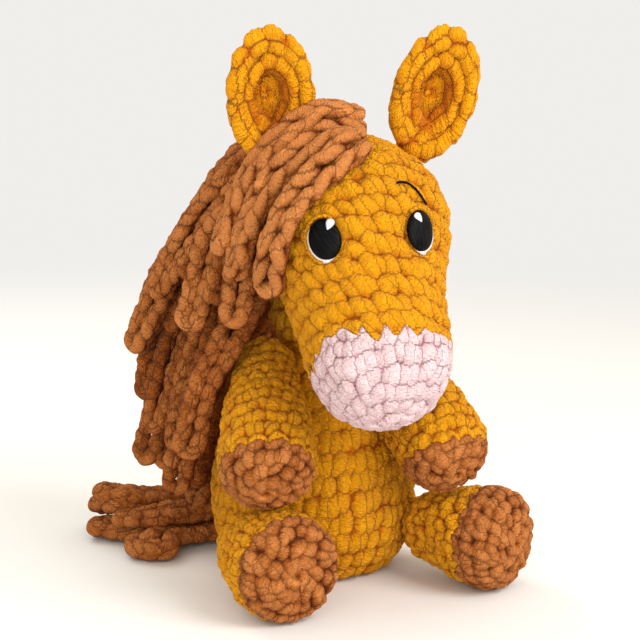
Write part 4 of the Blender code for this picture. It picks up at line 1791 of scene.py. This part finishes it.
FORELOCK_ROUTES = (
    ((-11, -71, 276.5), (-29, -67, 279), (-49, -62, 267), (-62, -52, 249), (-72, -46, 228), (-78, -43, 209)),
    ((-15, -83, 267.2), (-30, -77, 268), (-49, -74, 255), (-62, -67, 238), (-71, -60, 217), (-76, -55, 196)),
    ((-23, -95, 262.5), (-36, -97, 256), (-50, -95, 244), (-61, -91, 229), (-67, -85, 210), (-66, -74, 188)),
)
MANE_ROUTES = (
    ((0, -19.5, 251.5), (-35, -4, 255), (-56, 0, 239), (-71, 10, 212), (-84, 26, 180), (-97, 40, 141)),
    ((-11, -49, 273), (-49, -24, 250), (-65, -21, 236), (-77, -13, 220), (-85, 0, 198), (-92, 13, 176)),
    ((-13, -5, 234), (-48, -18, 226), (-66, -31, 220), (-77, -25, 204), (-82, -22, 183), (-86, -15, 162)),
    ((-23, -6, 217), (-39, -12, 205), (-60, -30, 202), (-67, -41, 190), (-71, -44, 178), (-74, -45, 168)),
    ((4.5, -8, 222), (-28, 19, 221), (-54, 20, 199), (-66, 28, 163), (-78, 37, 126), (-85, 43, 90)),
    ((-3.5, -5, 208), (-34, 6, 201), (-57, -4, 186), (-70, 1, 150), (-78, 7, 117), (-82, 12, 85)),
    ((-16, -8.5, 193.5), (-37, -14, 185), (-51, -20, 169), (-68.5, -25, 147), (-83, -21, 121),
     (-87.5, -15, 88)),
    ((12, -11, 209), (-8, 40, 200), (-37, 43, 165), (-55, 47, 122), (-66, 49, 92), (-74, 51, 65)),
    ((4, -8, 192.5), (-23, 23, 184), (-44, 21, 144), (-60, 23, 109), (-72, 27, 79), (-78, 30, 54)),
    ((18, -12.5, 192.5), (15, 46, 178), (-2, 66, 140), (-20, 74, 95), (-35, 73, 59), (-46, 70, 30)),
)
TAIL_ROUTES = (
    ((-6, 65.7, 31.5), (-20, 79, 23), (-42, 89, 15), (-64, 95, 15), (-86, 100, 20), (-91, 123, 17)),
    ((-7, 64, 16), (-27, 74, 8), (-50, 77, 7.6), (-73, 77, 11), (-87, 91, 7.6), (-98, 104, 7.6)),
    ((-24.5, 57, 11.5), (-40, 60, 8), (-58, 61, 8), (-76, 58, 10), (-82, 46, 7.6), (-91, 57, 7.6)),
)


# The loops under the mane: the two locks that each lies between, the share of the second, how far out in
# millimetres, and its length as a share of theirs
FILLERS = (
    (1, 5, 0.5, -2.0, 0.80), (2, 3, 0.5, -5.5, 0.84), (3, 4, 0.5, -5.0, 0.84), (5, 6, 0.5, -5.0, 0.9),
    (6, 7, 0.5, -4.0, 0.9), (8, 9, 0.5, -5.0, 0.98), (9, 10, 0.8, 3.5, 0.92), (2, 1, 0.5, -5.5, 0.84),
)
# Loops behind the neck, behind the first lock's end and at the mane's outer edge
BACK_ROUTES = (
    ((14, 0, 200), (8, 44, 184), (-11, 58, 146), (-28, 66, 105), (-42, 66, 72), (-52, 64, 45)),
    ((20, 0, 192), (18, 46, 170), (3, 63, 136), (-12, 71, 100), (-22, 75, 75)),
    ((0, 0, 226), (-32, 24, 225), (-60, 24, 203), (-74, 33, 168), (-84, 42, 134), (-88, 46, 110)),
    ((-2, 10, 205), (-14, 42, 198), (-44, 48, 162), (-64, 53, 120), (-77, 57, 88), (-84, 60, 66)),
)
# Loops that lie on the tail
TAIL_BACK_ROUTES = (
    ((-8, 70, 26), (-24, 84, 25), (-46, 93, 24), (-66, 95, 25), (-82, 100, 27), (-90, 112, 27)),
    ((-12, 63, 24), (-32, 68, 21), (-52, 70, 20), (-70, 70, 21), (-80, 76, 19), (-88, 84, 17)),
)


def between(first: Route, second: Route, share: float, out: float, reach: float) -> np.ndarray:
    """The route of a loop that lies between two locks.

    Args:
        first: The route of the first lock, in millimetres.
        second: The route of the second lock.
        share: The share of the second.
        out: How far outside them it lies, in millimetres.
        reach: Its length as a share of theirs.

    Returns:
        The route, in millimetres.
    """
    route = (1.0 - share) * np.array(first, dtype=float) + share * np.array(second, dtype=float)
    away = unit_rows((route - np.array([10.0, 45.0, 0.0])) * np.array([1.0, 1.0, 0.0]))
    route += away * out * np.array([0.2, 0.75, 1.0, 1.0, 1.0, 0.9])[:, None]
    route[-1] = route[-2] + (route[-1] - route[-2]) * (1.0 - (1.0 - reach) * 5.0)
    return route


@dataclass
class Mane:
    """The forelock, the mane and the tail.

    Attributes:
        crown: The point that the forelock's fronts face away from.
        back: The same for the mane's.
        under: The same for the tail's.
        tail_radius: Radius of the tail's cord.
        tail_lean: How the tail's stitches turn to the front.
        near_locks: How many of the mane's locks lie outermost and keep the full colour; the rest are painted
            darker, as shade.
    """

    crown: Vector = field(default_factory=lambda: Vector((0.0, -50.0, 205.0)) * MM)
    back: Vector = field(default_factory=lambda: Vector((20.0, 90.0, 150.0)) * MM)
    under: Vector = field(default_factory=lambda: Vector((-50.0 * MM, 80.0 * MM, -0.5)))
    tail_radius: float = 4.9 * MM
    tail_lean: tuple[float, float, float] = (-0.5, -1.0, 0.0)
    near_locks: int = 4

    def build(self) -> None:
        """Builds each loop of the forelock, the mane and the tail."""
        tail = {"radius": self.tail_radius, "lean": self.tail_lean}
        # Painted light: the forelock is painted lighter, where the light falls on it
        for number, route in enumerate(FORELOCK_ROUTES, start=1):
            self.loop("forelock", number, route, self.crown, 60, pitch=15.0 * MM, relief=2.3 * MM, shade=1.5)
        for number, route in enumerate(MANE_ROUTES, start=1):
            # Painted shade: the inner locks of the mane are painted darker
            shade = 1.0 if number <= self.near_locks else 0.78
            self.loop("mane_lock", number, route, self.back, 70, shade=shade)
        routes = [
            between(MANE_ROUTES[first - 1], MANE_ROUTES[second - 1], share, out, reach)
            for first, second, share, out, reach in FILLERS
        ]
        routes += BACK_ROUTES
        for number, route in enumerate(routes, start=1):
            # Painted shade: the loops under and behind the mane are painted dark, as the shade between the
            # locks
            shade = 0.5 if number < len(routes) else 0.7
            self.loop("mane_filler", number, route, self.back, 110, shade=shade)
        # Painted shade: the tail's loops are painted a little darker, and the loops on it darker still
        for number, route in enumerate(TAIL_ROUTES, start=1):
            self.loop("tail_lock", number, route, self.under, 90, shade=0.9, **tail)
        for number, route in enumerate(TAIL_BACK_ROUTES, start=1):
            self.loop("tail_filler", number, route, self.under, 130, shade=0.8, **tail)

    def loop(
        self, kind: str, number: int, route: Route | np.ndarray, centre: Vector, seed: int, **sizes: object
    ) -> None:
        """Builds one loop.

        Args:
            kind: What it is, the first part of its name. A filler stands for no node.
            number: Its number.
            route: Its route, in millimetres.
            centre: The point that its front faces away from.
            seed: Picks its unevenness, with its number.
            sizes: Its other sizes.
        """
        name = f"{kind}_{number}"
        nodes = () if kind.endswith("filler") else (name,)
        body = "tail" if kind.startswith("tail") else "head"
        Lock(name + "_cord", nodes, route, body, centre, seed=seed + number, **sizes).build()


# Studio


@dataclass(frozen=True)
class Lamp:
    """A soft square lamp that faces the horse.

    Attributes:
        name: The lamp's name.
        place: Where it stands.
        size: The side of its square.
        power: Its power in watts.
    """

    name: str
    place: tuple[float, float, float]
    size: float
    power: float

    def build(self) -> None:
        """Adds the lamp."""
        place = Vector(self.place)
        bpy.ops.object.light_add(type="AREA", location=place)
        lamp = bpy.context.object
        lamp.name = self.name
        lamp.data.size = self.size
        lamp.data.energy = self.power
        lamp.rotation_euler = facing_to(place, Vector((0.0, 0.0, 0.14)))


def facing_to(place: Vector, target: Vector) -> Euler:
    """The turn that points a lamp or a camera at a target."""
    return (target - place).to_track_quat("-Z", "Y").to_euler()


@dataclass
class Studio:
    """A pale floor, soft light and the camera."""

    floor_colour: Colour = (0.80, 0.80, 0.79)
    floor_edge: tuple[float, float] = (0.35, 1.5)
    light_colour: Colour = (0.86, 0.79, 0.68)
    backdrop_colour: Colour = (0.87, 0.86, 0.84)
    lamps: tuple[Lamp, ...] = (
        Lamp("key", (0.45, -1.15, 0.90), 0.9, 18.0),
        Lamp("fill", (-0.85, -1.10, 0.35), 1.2, 9.5),
        Lamp("rim", (-0.25, 1.1, 1.0), 0.9, 8.0),
    )
    camera_place: Vector = field(default_factory=lambda: Vector((-0.4585, -0.8716, 0.3237)))
    camera_target: Vector = field(default_factory=lambda: Vector((0.0038, -0.0020, 0.1500)))
    lens: float = 93.75

    def build(self) -> None:
        """Builds the studio."""
        self.floor()
        for lamp in self.lamps:
            lamp.build()
        self.backdrop()
        self.camera()

    def floor(self) -> None:
        """Adds the floor, which fades out away from the horse."""
        bpy.ops.object.select_all(action="DESELECT")
        bpy.ops.mesh.primitive_plane_add(size=60.0)
        floor = bpy.context.object
        floor.name = "floor"
        material = bpy.data.materials.new("floor_pale")
        material.use_nodes = True
        shader = shader_of(material)
        set_inputs(shader, {"Base Color": (*self.floor_colour, 1.0), "Roughness": 0.9})
        row = NodeRow(material.node_tree)
        far = row.add("VectorMath", operation="LENGTH")
        row.join(row.add("TexCoord").outputs["Object"], far.inputs[0])
        near = row.add("MapRange", interpolation_type="SMOOTHSTEP")
        row.join(far.outputs["Value"], near.inputs["Value"])
        start, end = self.floor_edge
        set_inputs(near, {"From Min": start, "From Max": end, "To Min": 1.0, "To Max": 0.0})
        row.join(near.outputs["Result"], shader.inputs["Alpha"])
        floor.data.materials.append(material)

    def backdrop(self) -> None:
        """Lights the horse from all round, and shows the camera a pale backdrop."""
        world = bpy.data.worlds.new("studio")
        world.use_nodes = True
        background = world.node_tree.nodes["Background"]
        row = NodeRow(world.node_tree)
        seen = row.add("Mix", data_type="RGBA")
        row.join(row.add("LightPath").outputs["Is Camera Ray"], seen.inputs["Factor"])
        set_inputs(seen, {"A": (*self.light_colour, 1.0), "B": (*self.backdrop_colour, 1.0)})
        row.join(seen.outputs["Result"], background.inputs["Color"])
        background.inputs["Strength"].default_value = 1.0
        bpy.context.scene.world = world
        bpy.context.scene.view_settings.view_transform = "Standard"

    def camera(self) -> None:
        """Adds the camera at the photograph's angle."""
        bpy.ops.object.camera_add(location=self.camera_place)
        camera = bpy.context.object
        camera.rotation_euler = facing_to(self.camera_place, self.camera_target)
        camera.data.lens = self.lens
        camera.data.sensor_width = 36.0
        bpy.context.scene.camera = camera


def main() -> None:
    """Builds the horse over its frame, piece by piece."""
    logging.basicConfig(level=logging.INFO, format="%(message)s")
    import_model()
    Studio().build()
    Torso().build()
    Head().build()
    for limb in make_limbs():
        limb.build()
    Mane().build()


if __name__ == "__main__":
    main()
